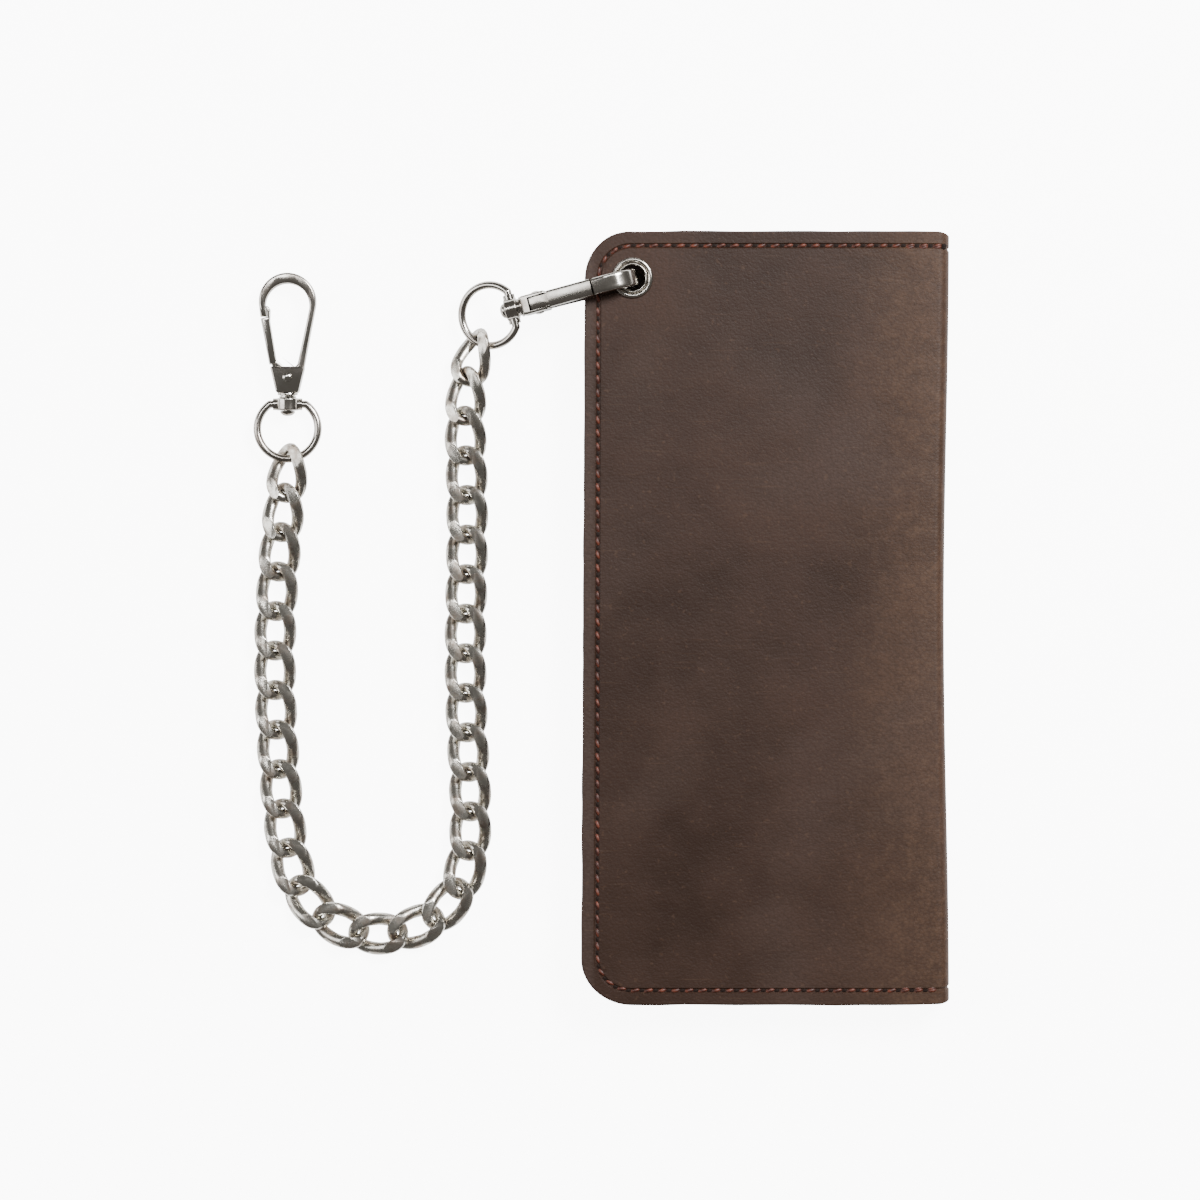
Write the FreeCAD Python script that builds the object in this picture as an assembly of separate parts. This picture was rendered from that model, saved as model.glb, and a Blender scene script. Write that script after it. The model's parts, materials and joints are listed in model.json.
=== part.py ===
import FreeCAD, Part
import math
import os

from FreeCAD import Matrix, Placement, Vector

# A tall leather bifold wallet that lies closed on its back cover, with a curb chain beside it.
# +X points from the open edge to the fold, +Y to the end with the grommet, +Z up.
# The origin is the middle of the back cover's outer face. All lengths are in millimetres.

# Wallet
WALLET_WIDTH = 92.4
WALLET_LENGTH = 195.0
CLOSED_THICKNESS = 14.0
COVER_THICKNESS = 2.0
LINING_THICKNESS = 1.2
CORNER_RADIUS = 12.0
FOLD_RADIUS = 1.5
EDGE_ROUNDING = 0.5
LAYER_GAP = 0.1
BACK_STACK_TOP = 5.0
CARD_SLOT_COUNT = 4
CARD_SLOT_THICKNESS = 0.9
CARD_SLOT_HEIGHT = 52.0
CARD_SLOT_STEP = 22.0
CARD_SLOT_TOP = 62.0

# Stitching
STITCH_INSET = 3.7
STITCH_PITCH = 3.4
STITCH_LENGTH = 2.6
THREAD_WIDTH = 0.8
THREAD_HEIGHT = 0.45
GROOVE_WIDTH = 1.9
GROOVE_DEPTH = 0.4
STITCH_SLANT = 10.0
SLOT_STITCH_INSET = 2.5
PANEL_INSET = 1.0
PANEL_TO_SPINE = 0.5

# Grommet
GROMMET_X = -33.7
GROMMET_Y = 85.7
GROMMET_OUTER_RADIUS = 5.2
GROMMET_HOLE_RADIUS = 3.2
GROMMET_WALL = 0.5
GROMMET_FLANGE_HEIGHT = 0.9
WASHER_THICKNESS = 0.7

# Snap hooks
HOOK_LENGTH = 30.5
BOW_RADIUS = 7.25
BOW_TIP_THICKNESS = 2.7
ARM_THICKNESS = 1.7
BOW_WIDTH = 4.3
BOW_EDGE_ROUNDING = 0.5
BASE_LENGTH = 6.7
BASE_WIDTH = 5.0
BASE_FOOT_HALF = 2.85
BASE_HEAD_HALF = 4.4
NOSE_END = 19.4
ARM_ROOT = 5.7
ARM_ROOT_HALF = 4.1
SLOT_WIDTH = 2.9
PIVOT_ALONG = 3.95
PIVOT_RADIUS = 0.6
HUB_RADIUS = 1.7
GATE_THICKNESS = 1.2
GATE_CLEARANCE = 0.1
GATE_END_GAP = 0.15
GATE_END_SLANT = 0.6
BLADE_START = 7.3
TONGUE_REACH = 1.4
TONGUE_BACK = 2.5
TONGUE_HALF_WIDTH = 1.2
NECK_HALF = 1.3
BASE_CORNER_ROUNDING = 0.7
SLOT_FLOOR = 2.6
SLOT_BACK = 2.0
RIVET_HEAD_RADIUS = 1.75
RIVET_HEAD_HEIGHT = 0.5
SPRING_THICKNESS = 0.3
SPRING_WIDTH = 2.0

# Swivels and rings
POST_RADIUS = 0.95
POST_HEAD_RADIUS = 1.9
POST_HEAD_HEIGHT = 1.3
COLLAR_RADIUS = 2.9
COLLAR_LENGTH = 3.1
COLLAR_GAP = 1.3
COLLAR_BORE_CLEARANCE = 0.08
LUG_RADIUS = 1.5
LUG_REACH = 3.7
RING_RADIUS = 7.7
RING_WIRE_RADIUS = 0.98
RING_OFFSET = 6.2
RING_PIN_DEPTH = 2.3

# Curb chain
LINK_COUNT = 30
LINK_PITCH = 10.05
LINK_HALF_LENGTH = 6.4
LINK_HALF_WIDTH = 4.15
LINK_TWIST = 1.75
LINK_WIRE_RADIUS = 1.15
LINK_HALF_HEIGHT = 2.25

# How the parts lie
WALLET_HOOK_HEADING = 14.1
WALLET_HOOK_RISE = 8.0
BOW_ANGLE_IN_GROMMET = 12.0
WALLET_RING_FALL = 22.0
BELT_RING_RISE = 3.0
BELT_HOOK_FOOT = Vector(-121.2, 57.1, 3.1)
CHAIN_LEAVES_WALLET_RING = Vector(-0.415, -0.91, 0)
CHAIN_LEAVES_BELT_RING = Vector(0.1, -0.995, 0)
RING_TO_JOINT = 6.3
CHAIN_REST_HEIGHT = 2.4
# Places that the chain lies through, as x, y: down beside the wallet, round the bend and back up.
CHAIN_DOWN = [(-75.7, 60.0), (-76.0, 44.0), (-75.6, 26.0), (-76.1, -12.0), (-75.4, -34.0), (-74.8, -56.0)]
CHAIN_BEND = [(-78.0, -68.2), (-86.2, -76.0), (-97.6, -78.6), (-109.2, -76.0), (-117.6, -68.2)]
CHAIN_UP = [(-121.6, -56.0), (-124.2, -24.0), (-124.5, -8.0), (-123.9, 8.0), (-122.2, 27.0)]
# Heights and rolls of the first links, from the ring's height down to where the chain lies flat.
WALLET_END_HEIGHTS = [5.1, 4.15, 3.5, 2.9, 2.5]
BELT_END_HEIGHTS = [4.0, 4.15, 3.1, 2.5]
WALLET_END_ROLLS = [34.0, 23.0, 12.0, 4.0]
BELT_END_ROLLS = [-24.0, -15.0, -7.0]

left = -WALLET_WIDTH / 2
right = WALLET_WIDTH / 2
half_length = WALLET_LENGTH / 2
front_panel_top = CLOSED_THICKNESS - COVER_THICKNESS - LAYER_GAP
front_panel_bottom = front_panel_top - LINING_THICKNESS
bow_centre_x = HOOK_LENGTH - BOW_RADIUS
bow_inner_radius = BOW_RADIUS - ARM_THICKNESS
bow_inner_centre_x = HOOK_LENGTH - BOW_TIP_THICKNESS - bow_inner_radius


def frame(origin, along, side):
    """A placement whose X axis is along, whose Y axis is nearest to side, and whose origin is origin."""
    e1 = Vector(along).normalize()
    e3 = e1.cross(side).normalize()
    e2 = e3.cross(e1)
    return Placement(Matrix(e1.x, e2.x, e3.x, origin.x,
                            e1.y, e2.y, e3.y, origin.y,
                            e1.z, e2.z, e3.z, origin.z,
                            0, 0, 0, 1))


def placed(shape, place):
    copy = shape.copy()
    copy.Placement = place.multiply(copy.Placement)
    return copy


def box(x0, x1, y0, y1, z0, z1):
    return Part.makeBox(x1 - x0, y1 - y0, z1 - z0, Vector(x0, y0, z0))


def cylinder(radius, start, end):
    axis = end.sub(start)
    return Part.makeCylinder(radius, axis.Length, start, axis)


def dome(radius, height, centre, direction):
    """A flat-bottomed dome: the cap of a ball."""
    ball = (radius ** 2 + height ** 2) / (2 * height)
    ball_centre = centre.sub(Vector(direction).multiply(ball - height))
    cap = Part.makeSphere(ball, ball_centre)
    keep = cylinder(radius * 1.01, centre, centre.add(Vector(direction).multiply(height * 1.5)))
    return cap.common(keep)


def prism(points, half_width):
    """A straight-sided outline in the XY plane, made half_width thick to each side of it."""
    wire = Part.makePolygon([Vector(x, y, -half_width) for x, y in points + points[:1]])
    return Part.Face(wire).extrude(Vector(0, 0, 2 * half_width))


def edges_at(shape, keep):
    """The edges whose ends and middle all pass a test."""
    chosen = []
    for edge in shape.Edges:
        middle = edge.valueAt((edge.FirstParameter + edge.LastParameter) / 2)
        if keep(middle) and all(keep(vertex.Point) for vertex in edge.Vertexes):
            chosen.append(edge)
    return chosen


# Leather

def leather_panel(inset, z0, z1, x_end):
    """A sheet whose two corners at the open edge are round, inset from the wallet's outline."""
    sheet = box(left + inset, x_end, -half_length + inset, half_length - inset, z0, z1)
    corners = [edge for edge in edges_at(sheet, lambda p: p.x < left + inset + 0.01)
               if abs(edge.Vertexes[0].Z - edge.Vertexes[1].Z) > 0.01]
    return sheet.makeFillet(CORNER_RADIUS - inset, corners)


def stitch_groove(z0, z1):
    """The band that the stitching lies in, along the open edge and both ends."""
    outer = leather_panel(STITCH_INSET - GROOVE_WIDTH / 2, z0, z1, right - FOLD_RADIUS)
    inner = leather_panel(STITCH_INSET + GROOVE_WIDTH / 2, z0 - 1, z1 + 1, right + 1)
    return outer.cut(inner)


def cover(outer_face, inner_face):
    """One outer leather cover, with a stitch groove in its outer face."""
    low, high = min(outer_face, inner_face), max(outer_face, inner_face)
    sheet = leather_panel(0, low, high, right)
    fold = edges_at(sheet, lambda p: abs(p.z - outer_face) < 0.01 and p.x > right - 0.01)
    sheet = sheet.makeFillet(FOLD_RADIUS, fold)
    rim = edges_at(sheet, lambda p: abs(p.z - outer_face) < 0.01 and (
        p.x < left + CORNER_RADIUS + 0.01 or abs(p.y) > half_length - 0.01))
    sheet = sheet.makeFillet(EDGE_ROUNDING, rim)
    inward = 1 if inner_face > outer_face else -1
    floor = outer_face + inward * GROOVE_DEPTH
    return sheet.cut(stitch_groove(min(outer_face - inward, floor), max(outer_face - inward, floor)))


def stitch(z0, middle, heading):
    """One slanted thread, lying on the height z0."""
    bar = box(-STITCH_LENGTH / 2, STITCH_LENGTH / 2, -THREAD_WIDTH / 2, THREAD_WIDTH / 2, 0, THREAD_HEIGHT)
    turn = FreeCAD.Rotation(Vector(0, 0, 1), heading + STITCH_SLANT)
    return placed(bar, Placement(Vector(middle.x, middle.y, z0), turn))


def stitch_row(points, z0):
    """A thread between each two neighbouring points."""
    threads = []
    for start, end in zip(points, points[1:]):
        heading = math.degrees(math.atan2(end.y - start.y, end.x - start.x))
        threads.append(stitch(z0, start.add(end).multiply(0.5), heading))
    return Part.Compound(threads)


def stitch_path():
    """Points a stitch apart, from the fold along one end, the open edge and most of the other end."""
    outline = leather_panel(STITCH_INSET, 0, 1, right - FOLD_RADIUS)
    rim = edges_at(outline, lambda p: abs(p.z) < 0.01 and p.x < right - FOLD_RADIUS - 0.01)
    ends = edges_at(outline, lambda p: abs(p.z) < 0.01 and abs(p.y) > half_length - STITCH_INSET - 0.01)
    edges = Part.sortEdges(rim + [edge for edge in ends if not any(edge.isSame(other) for other in rim)])[0]
    return Part.Wire(edges).discretize(Distance=STITCH_PITCH)[:-1]


def outer_stitching(outer_face, inward):
    groove_floor = outer_face + inward * GROOVE_DEPTH
    return stitch_row(stitch_path(), min(groove_floor, groove_floor - inward * THREAD_HEIGHT))


def grommet_hole(radius):
    return cylinder(radius, Vector(GROMMET_X, GROMMET_Y, BACK_STACK_TOP + 0.5),
                    Vector(GROMMET_X, GROMMET_Y, CLOSED_THICKNESS + 2))


def card_slot(index):
    """One card pocket: the slots step down the panel, each a layer further in."""
    top = front_panel_bottom - LAYER_GAP - index * (CARD_SLOT_THICKNESS + LAYER_GAP)
    y_top = CARD_SLOT_TOP - index * CARD_SLOT_STEP
    return box(left + 2, right - 4, y_top - CARD_SLOT_HEIGHT, y_top, top - CARD_SLOT_THICKNESS, top)


def card_slot_threads():
    """Short thread rows down both sides of each card pocket, on its inner face."""
    rows = []
    for index in range(CARD_SLOT_COUNT):
        pocket = card_slot(index).BoundBox
        visible_bottom = pocket.YMax - CARD_SLOT_STEP
        for x in (pocket.XMin + SLOT_STITCH_INSET, pocket.XMax - SLOT_STITCH_INSET):
            count = int((CARD_SLOT_STEP - 2 * SLOT_STITCH_INSET) / STITCH_PITCH) + 1
            start = visible_bottom + SLOT_STITCH_INSET
            points = [Vector(x, start + n * STITCH_PITCH, 0) for n in range(count + 1)]
            rows.append(stitch_row(points, pocket.ZMin - THREAD_HEIGHT))
    return Part.Compound([thread for row in rows for thread in row.Solids])


def make_wallet():
    front_cover = cover(CLOSED_THICKNESS, CLOSED_THICKNESS - COVER_THICKNESS)
    barrel = GROMMET_HOLE_RADIUS + GROMMET_WALL
    panel_end = right - COVER_THICKNESS - PANEL_TO_SPINE
    front_panel = leather_panel(PANEL_INSET, front_panel_bottom, front_panel_top, panel_end)
    spine = box(right - COVER_THICKNESS, right, -half_length, half_length,
                COVER_THICKNESS + LAYER_GAP, CLOSED_THICKNESS - COVER_THICKNESS - LAYER_GAP)
    back_panel = leather_panel(PANEL_INSET, COVER_THICKNESS + LAYER_GAP,
                               COVER_THICKNESS + LAYER_GAP + LINING_THICKNESS, panel_end)
    coin_pocket = box(left + 3, right - 5, -half_length + 3, half_length - 70,
                      COVER_THICKNESS + LINING_THICKNESS + 2 * LAYER_GAP, BACK_STACK_TOP)
    parts = {
        "outer_cover_back": cover(0, COVER_THICKNESS),
        "outer_cover_spine": spine,
        "outer_cover_front": front_cover.cut(grommet_hole(barrel)),
        "back_pocket_panel": back_panel,
        "coin_pocket_panel": coin_pocket,
        "front_pocket_panel": front_panel.cut(grommet_hole(barrel)),
        "front_stitching": outer_stitching(CLOSED_THICKNESS, -1),
        "back_stitching": outer_stitching(0, 1),
        "card_slot_stitching": card_slot_threads(),
    }
    for index in range(CARD_SLOT_COUNT):
        parts["card_slot_%d" % (index + 1)] = card_slot(index)
    return parts


def make_grommet():
    """A flanged barrel pressed through the front leather, and the washer that it is rolled over."""
    foot = front_panel_bottom - WASHER_THICKNESS
    barrel_radius = GROMMET_HOLE_RADIUS + GROMMET_WALL
    centre = Vector(GROMMET_X, GROMMET_Y, 0)
    up = Vector(0, 0, 1)
    flange = dome(GROMMET_OUTER_RADIUS, GROMMET_FLANGE_HEIGHT, centre + up * CLOSED_THICKNESS, up)
    barrel = cylinder(barrel_radius, centre + up * foot, centre + up * CLOSED_THICKNESS)
    washer = cylinder(GROMMET_OUTER_RADIUS, centre + up * foot, centre + up * front_panel_bottom)
    return {"grommet_face": flange.fuse(barrel).cut(grommet_hole(GROMMET_HOLE_RADIUS)),
            "grommet_washer": washer.cut(grommet_hole(barrel_radius))}


# Snap hook. Its own frame: X from the foot to the tip of the bow, Y to the gate's side,
# Z across the bow's flat.

def tangent_point(centre_x, radius, x, y):
    """Where the line from (x, y) touches the upper side of a circle on the X axis."""
    distance = math.hypot(centre_x - x, y)
    angle = math.pi - math.atan2(y, centre_x - x) - math.acos(radius / distance)
    return centre_x + radius * math.cos(angle), radius * math.sin(angle)


bow_outer_end = tangent_point(bow_centre_x, BOW_RADIUS, ARM_ROOT, ARM_ROOT_HALF)
bow_inner_end = tangent_point(bow_inner_centre_x, bow_inner_radius, ARM_ROOT, ARM_ROOT_HALF - ARM_THICKNESS)


def arm_outer(x):
    """Half the bow's outer width at x, along its straight arms."""
    x1, y1 = bow_outer_end
    return ARM_ROOT_HALF + (x - ARM_ROOT) * (y1 - ARM_ROOT_HALF) / (x1 - ARM_ROOT)


def arm_inner(x):
    x1, y1 = bow_inner_end
    root = ARM_ROOT_HALF - ARM_THICKNESS
    return root + (x - ARM_ROOT) * (y1 - root) / (x1 - ARM_ROOT)


def hook_body_shape():
    low = -BOW_WIDTH / 2

    def v(x, y):
        return Vector(x, y, low)

    outer_x, outer_y = bow_outer_end
    inner_x, inner_y = bow_inner_end
    tip_inner = HOOK_LENGTH - BOW_TIP_THICKNESS
    outline = [
        Part.makeLine(v(ARM_ROOT, -arm_outer(ARM_ROOT)), v(outer_x, -outer_y)),
        Part.Arc(v(outer_x, -outer_y), v(HOOK_LENGTH, 0), v(outer_x, outer_y)).toShape(),
        Part.makeLine(v(outer_x, outer_y), v(NOSE_END, arm_outer(NOSE_END))),
        Part.makeLine(v(NOSE_END, arm_outer(NOSE_END)), v(NOSE_END, arm_inner(NOSE_END))),
        Part.makeLine(v(NOSE_END, arm_inner(NOSE_END)), v(inner_x, inner_y)),
        Part.Arc(v(inner_x, inner_y), v(tip_inner, 0), v(inner_x, -inner_y)).toShape(),
        Part.makeLine(v(inner_x, -inner_y), v(ARM_ROOT, -arm_inner(ARM_ROOT))),
        Part.makeLine(v(ARM_ROOT, -arm_inner(ARM_ROOT)), v(ARM_ROOT, -arm_outer(ARM_ROOT))),
    ]
    bow = Part.Face(Part.Wire(outline)).extrude(Vector(0, 0, BOW_WIDTH))
    rims = edges_at(bow, lambda p: abs(abs(p.z) - BOW_WIDTH / 2) < 0.01)
    bow = bow.makeFillet(BOW_EDGE_ROUNDING, [edge for edge in rims if edge.Length > ARM_THICKNESS + 0.1])
    base = prism([(0, -BASE_FOOT_HALF), (BASE_LENGTH, -BASE_HEAD_HALF),
                  (BASE_LENGTH, BASE_HEAD_HALF), (0, BASE_FOOT_HALF)], BASE_WIDTH / 2)
    corners = [edge for edge in base.Edges if abs(edge.Vertexes[0].Z - edge.Vertexes[1].Z) > 1]
    base = base.makeFillet(BASE_CORNER_ROUNDING, corners)
    gate_slot = box(PIVOT_ALONG - SLOT_BACK, BASE_LENGTH + 1, -SLOT_FLOOR, BASE_HEAD_HALF + 1,
                    -SLOT_WIDTH / 2, SLOT_WIDTH / 2)
    pivot_hole = cylinder(PIVOT_RADIUS, Vector(PIVOT_ALONG, 0, -BASE_WIDTH), Vector(PIVOT_ALONG, 0, BASE_WIDTH))
    post_hole = cylinder(POST_RADIUS, Vector(-1, 0, 0), Vector(PIVOT_ALONG - HUB_RADIUS, 0, 0))
    return bow.fuse(base).cut(gate_slot).cut(pivot_hole).cut(post_hole)


def gate_shape():
    """A lever on the rivet: a hub, a neck that leaves the base's slot, and a blade up to the nose."""
    blade_end = NOSE_END - GATE_END_GAP
    low_outer, high_outer = arm_outer(BLADE_START), arm_outer(blade_end)
    # The blade's end is slanted, so that it swings in past the nose.
    blade = prism([(BLADE_START, low_outer), (blade_end - GATE_END_SLANT, arm_outer(blade_end - GATE_END_SLANT)),
                   (blade_end, high_outer - GATE_THICKNESS), (BLADE_START, low_outer - GATE_THICKNESS)],
                  BOW_WIDTH / 2)
    tongue_root = arm_inner(blade_end)
    tongue_start, tongue_end = blade_end - TONGUE_BACK, blade_end + TONGUE_REACH
    tongue_foot = arm_outer(tongue_start) - GATE_THICKNESS
    tongue_tip = arm_inner(tongue_end) - 0.2
    tongue = prism([(tongue_start, tongue_foot + 0.2), (blade_end - 0.3, high_outer - GATE_THICKNESS + 0.1),
                    (blade_end, tongue_root - 0.2), (tongue_end, tongue_tip), (tongue_end, tongue_tip - 0.5),
                    (blade_end, tongue_root - 0.8), (tongue_start, tongue_foot - 0.4)], TONGUE_HALF_WIDTH)
    neck_end = BLADE_START + GATE_THICKNESS
    neck = prism([(PIVOT_ALONG + PIVOT_RADIUS, -NECK_HALF), (neck_end, low_outer - GATE_THICKNESS + 0.2),
                  (neck_end, low_outer - 0.1), (PIVOT_ALONG - PIVOT_RADIUS, NECK_HALF)],
                 SLOT_WIDTH / 2 - GATE_CLEARANCE)
    hub_top = SLOT_WIDTH / 2 - GATE_CLEARANCE
    hub = cylinder(HUB_RADIUS, Vector(PIVOT_ALONG, 0, -hub_top), Vector(PIVOT_ALONG, 0, hub_top))
    bore = cylinder(PIVOT_RADIUS + 0.06, Vector(PIVOT_ALONG, 0, -3), Vector(PIVOT_ALONG, 0, 3))
    return hub.fuse([neck, blade, tongue]).removeSplitter().cut(bore)


def gate_rivet_shape():
    top = BASE_WIDTH / 2
    shank = cylinder(PIVOT_RADIUS, Vector(PIVOT_ALONG, 0, -top), Vector(PIVOT_ALONG, 0, top))
    heads = [dome(RIVET_HEAD_RADIUS, RIVET_HEAD_HEIGHT, Vector(PIVOT_ALONG, 0, side * top), Vector(0, 0, side))
             for side in (-1, 1)]
    return shank.fuse(heads)


def gate_spring_shape():
    """A bent leaf in the base's slot that pushes the gate out against the nose."""
    wall = -SLOT_FLOOR
    t = SPRING_THICKNESS
    return prism([(PIVOT_ALONG - 1.6, wall + 0.05), (BASE_LENGTH - 0.6, wall + 0.05), (8.9, 1.15), (9.1, 1.15 + t),
                  (BASE_LENGTH - 0.75, wall + 0.05 + t), (PIVOT_ALONG - 1.6, wall + 0.05 + t)], SPRING_WIDTH / 2)


def swivel_post_shape():
    """The pin that is riveted into the foot, with the domed head that holds the collar on."""
    head_start = -COLLAR_GAP - COLLAR_LENGTH - 0.15
    shank = cylinder(POST_RADIUS, Vector(head_start, 0, 0), Vector(PIVOT_ALONG - HUB_RADIUS - 0.3, 0, 0))
    head = dome(POST_HEAD_RADIUS, POST_HEAD_HEIGHT, Vector(head_start, 0, 0), Vector(-1, 0, 0))
    return shank.fuse(head)


# Collar and ring. Their own frame: the origin in the collar's middle, X to the ring's middle,
# Y along the ring's two pins.

def collar_shape():
    half = COLLAR_LENGTH / 2
    barrel = cylinder(COLLAR_RADIUS, Vector(-half, 0, 0), Vector(half, 0, 0))
    lugs = cylinder(LUG_RADIUS, Vector(0, -LUG_REACH, 0), Vector(0, LUG_REACH, 0))
    bore = cylinder(POST_RADIUS + COLLAR_BORE_CLEARANCE, Vector(-5, 0, 0), Vector(5, 0, 0))
    body = barrel.makeFillet(0.35, [edge for edge in barrel.Edges if isinstance(edge.Curve, Part.Circle)])
    body = body.fuse(lugs).cut(bore)
    for side in (-1, 1):
        body = body.cut(cylinder(RING_WIRE_RADIUS + 0.08, Vector(0, side * (RING_PIN_DEPTH - 0.15), 0),
                                 Vector(0, side * 6, 0)))
    return body


def ring_shape():
    """A wire ring, open at the collar, whose ends turn in along one line as pins."""
    corner_y = math.sqrt(RING_RADIUS ** 2 - RING_OFFSET ** 2)
    corner = Vector(0, corner_y, 0)
    arc = Part.Arc(corner, Vector(RING_OFFSET + RING_RADIUS, 0, 0), Vector(0, -corner_y, 0))
    heading = Vector(corner_y, RING_OFFSET, 0).normalize()
    section = Part.Face(Part.Wire(Part.makeCircle(RING_WIRE_RADIUS, corner, heading)))
    bow = Part.Wire(arc.toShape()).makePipe(section)
    ends = []
    for side in (-1, 1):
        ends.append(Part.makeSphere(RING_WIRE_RADIUS, Vector(0, side * corner_y, 0)))
        ends.append(cylinder(RING_WIRE_RADIUS, Vector(0, side * RING_PIN_DEPTH, 0), Vector(0, side * corner_y, 0)))
    return bow.fuse(ends).removeSplitter()


# Chain link. Its own frame: X along the chain, Y across it, Z up from where it lies.

def link_point(angle):
    return Vector(LINK_HALF_LENGTH * math.cos(angle), LINK_HALF_WIDTH * math.sin(angle),
                  -LINK_TWIST * math.sin(2 * angle))


def link_heading(angle):
    return Vector(-LINK_HALF_LENGTH * math.sin(angle), LINK_HALF_WIDTH * math.cos(angle),
                  -2 * LINK_TWIST * math.cos(2 * angle)).normalize()


def arc_from_tangent(start, corner, end):
    """The arc from start to end whose end tangents meet at corner."""
    turn = corner.sub(start).getAngle(end.sub(corner))
    weight = math.cos(turn / 2)
    middle = (start + corner * (2 * weight) + end) * (1 / (2 + 2 * weight))
    return Part.Arc(start, middle, end).toShape()


def tangent_arcs(start, start_heading, end, end_heading):
    """Two arcs that join two points smoothly, each tangent to the heading at its end."""
    chord = end.sub(start)
    both = start_heading + end_heading
    a = 2 * (start_heading.dot(end_heading) - 1)
    b = -2 * chord.dot(both)
    reach = (-b - math.sqrt(b * b - 4 * a * chord.dot(chord))) / (2 * a)
    first = start + start_heading * reach
    second = end - end_heading * reach
    middle = (first + second) * 0.5
    return [arc_from_tangent(start, first, middle), arc_from_tangent(middle, second, end)]


def link_shape():
    """A twisted oval of round wire, ground flat above and below where the twist lifts it."""
    spans = 8
    edges = []
    for n in range(spans):
        a0, a1 = 2 * math.pi * n / spans, 2 * math.pi * (n + 1) / spans
        edges += tangent_arcs(link_point(a0), link_heading(a0), link_point(a1), link_heading(a1))
    pieces = []
    for edge in edges:
        start = edge.valueAt(edge.FirstParameter)
        section = Part.Face(Part.Wire(Part.makeCircle(LINK_WIRE_RADIUS, start, edge.tangentAt(edge.FirstParameter))))
        pieces.append(section.revolve(edge.Curve.Center, edge.Curve.Axis,
                                      math.degrees(edge.LastParameter - edge.FirstParameter)))
    wire = pieces[0].fuse(pieces[1:]).removeSplitter()
    ground = box(-20, 20, -20, 20, -LINK_HALF_HEIGHT, LINK_HALF_HEIGHT)
    return wire.common(ground)


# Layout

def wallet_hook_frame():
    """The hook goes down through the grommet and under the front leather, its gate up."""
    heading, rise = math.radians(WALLET_HOOK_HEADING), math.radians(WALLET_HOOK_RISE)
    along = Vector(math.cos(rise) * math.cos(heading), math.cos(rise) * math.sin(heading), math.sin(rise))
    up = Vector(-math.sin(rise) * math.cos(heading), -math.sin(rise) * math.sin(heading), math.cos(rise))
    wire_radius = BOW_RADIUS - BOW_TIP_THICKNESS / 2
    angle = math.radians(BOW_ANGLE_IN_GROMMET)
    panel_middle = Vector(GROMMET_X, GROMMET_Y, (CLOSED_THICKNESS + front_panel_bottom) / 2)
    bow_centre = panel_middle - along * (wire_radius * math.cos(angle) - 0.3) + up * (wire_radius * math.sin(angle))
    return frame(bow_centre - along * (HOOK_LENGTH - BOW_RADIUS), along, up)


def belt_hook_frame():
    """The hook lies flat, its tip to +Y and its gate to -X."""
    return frame(BELT_HOOK_FOOT, Vector(0, 1, 0), Vector(-1, 0, 0))


def collar_frame(hook, lug_direction, ring_direction):
    middle = hook.multVec(Vector(-COLLAR_GAP - COLLAR_LENGTH / 2, 0, 0))
    return frame(middle, ring_direction, lug_direction)


def axis_of(place, x, y, z):
    return place.Rotation.multVec(Vector(x, y, z))


def chain_joints(start, end):
    """The points where the links meet, a pitch apart. The bend's depth takes up what is over."""

    def walk(sink):
        points = [Vector(start.x, start.y, 0)] + [Vector(x, y, 0) for x, y in CHAIN_DOWN]
        points += [Vector(x, y - sink, 0) for x, y in CHAIN_BEND]
        points += [Vector(x, y, 0) for x, y in CHAIN_UP] + [Vector(end.x, end.y, 0)]
        route = Part.BSplineCurve()
        route.interpolate(points)
        joints = [points[0]]
        low = route.FirstParameter
        while len(joints) <= LINK_COUNT:
            high = low
            step = (route.LastParameter - route.FirstParameter) / 500
            while high < route.LastParameter and route.value(high).distanceToPoint(joints[-1]) < LINK_PITCH:
                high += step
            if high >= route.LastParameter and len(joints) < LINK_COUNT:
                return joints, -1
            inside = high - step
            for _ in range(30):
                middle = (inside + high) / 2
                if route.value(middle).distanceToPoint(joints[-1]) < LINK_PITCH:
                    inside = middle
                else:
                    high = middle
            low = high
            joints.append(route.value(low))
        return joints, joints[-1].y - points[-1].y

    low_sink, high_sink = -6.0, 10.0
    for _ in range(30):
        sink = (low_sink + high_sink) / 2
        joints, over = walk(sink)
        if over > 0:
            low_sink = sink
        else:
            high_sink = sink
    joints[-1] = Vector(end.x, end.y, 0)
    return joints


def heights_along_chain():
    flat = LINK_COUNT + 1 - len(WALLET_END_HEIGHTS) - len(BELT_END_HEIGHTS)
    return WALLET_END_HEIGHTS + [CHAIN_REST_HEIGHT] * flat + BELT_END_HEIGHTS[::-1]


def rolls_along_chain():
    flat = LINK_COUNT - len(WALLET_END_ROLLS) - len(BELT_END_ROLLS)
    return WALLET_END_ROLLS + [0.0] * flat + BELT_END_ROLLS[::-1]


def link_frames(joints):
    """Each link's placement, between its two joints and rolled about its own length."""
    places = []
    for start, end, roll in zip(joints, joints[1:], rolls_along_chain()):
        along = end.sub(start)
        across = Vector(0, 0, 1).cross(along)
        flat = frame(start.add(end).multiply(0.5), along, across)
        places.append(flat.multiply(Placement(Vector(0, 0, 0), FreeCAD.Rotation(Vector(1, 0, 0), roll))))
    return places


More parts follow.
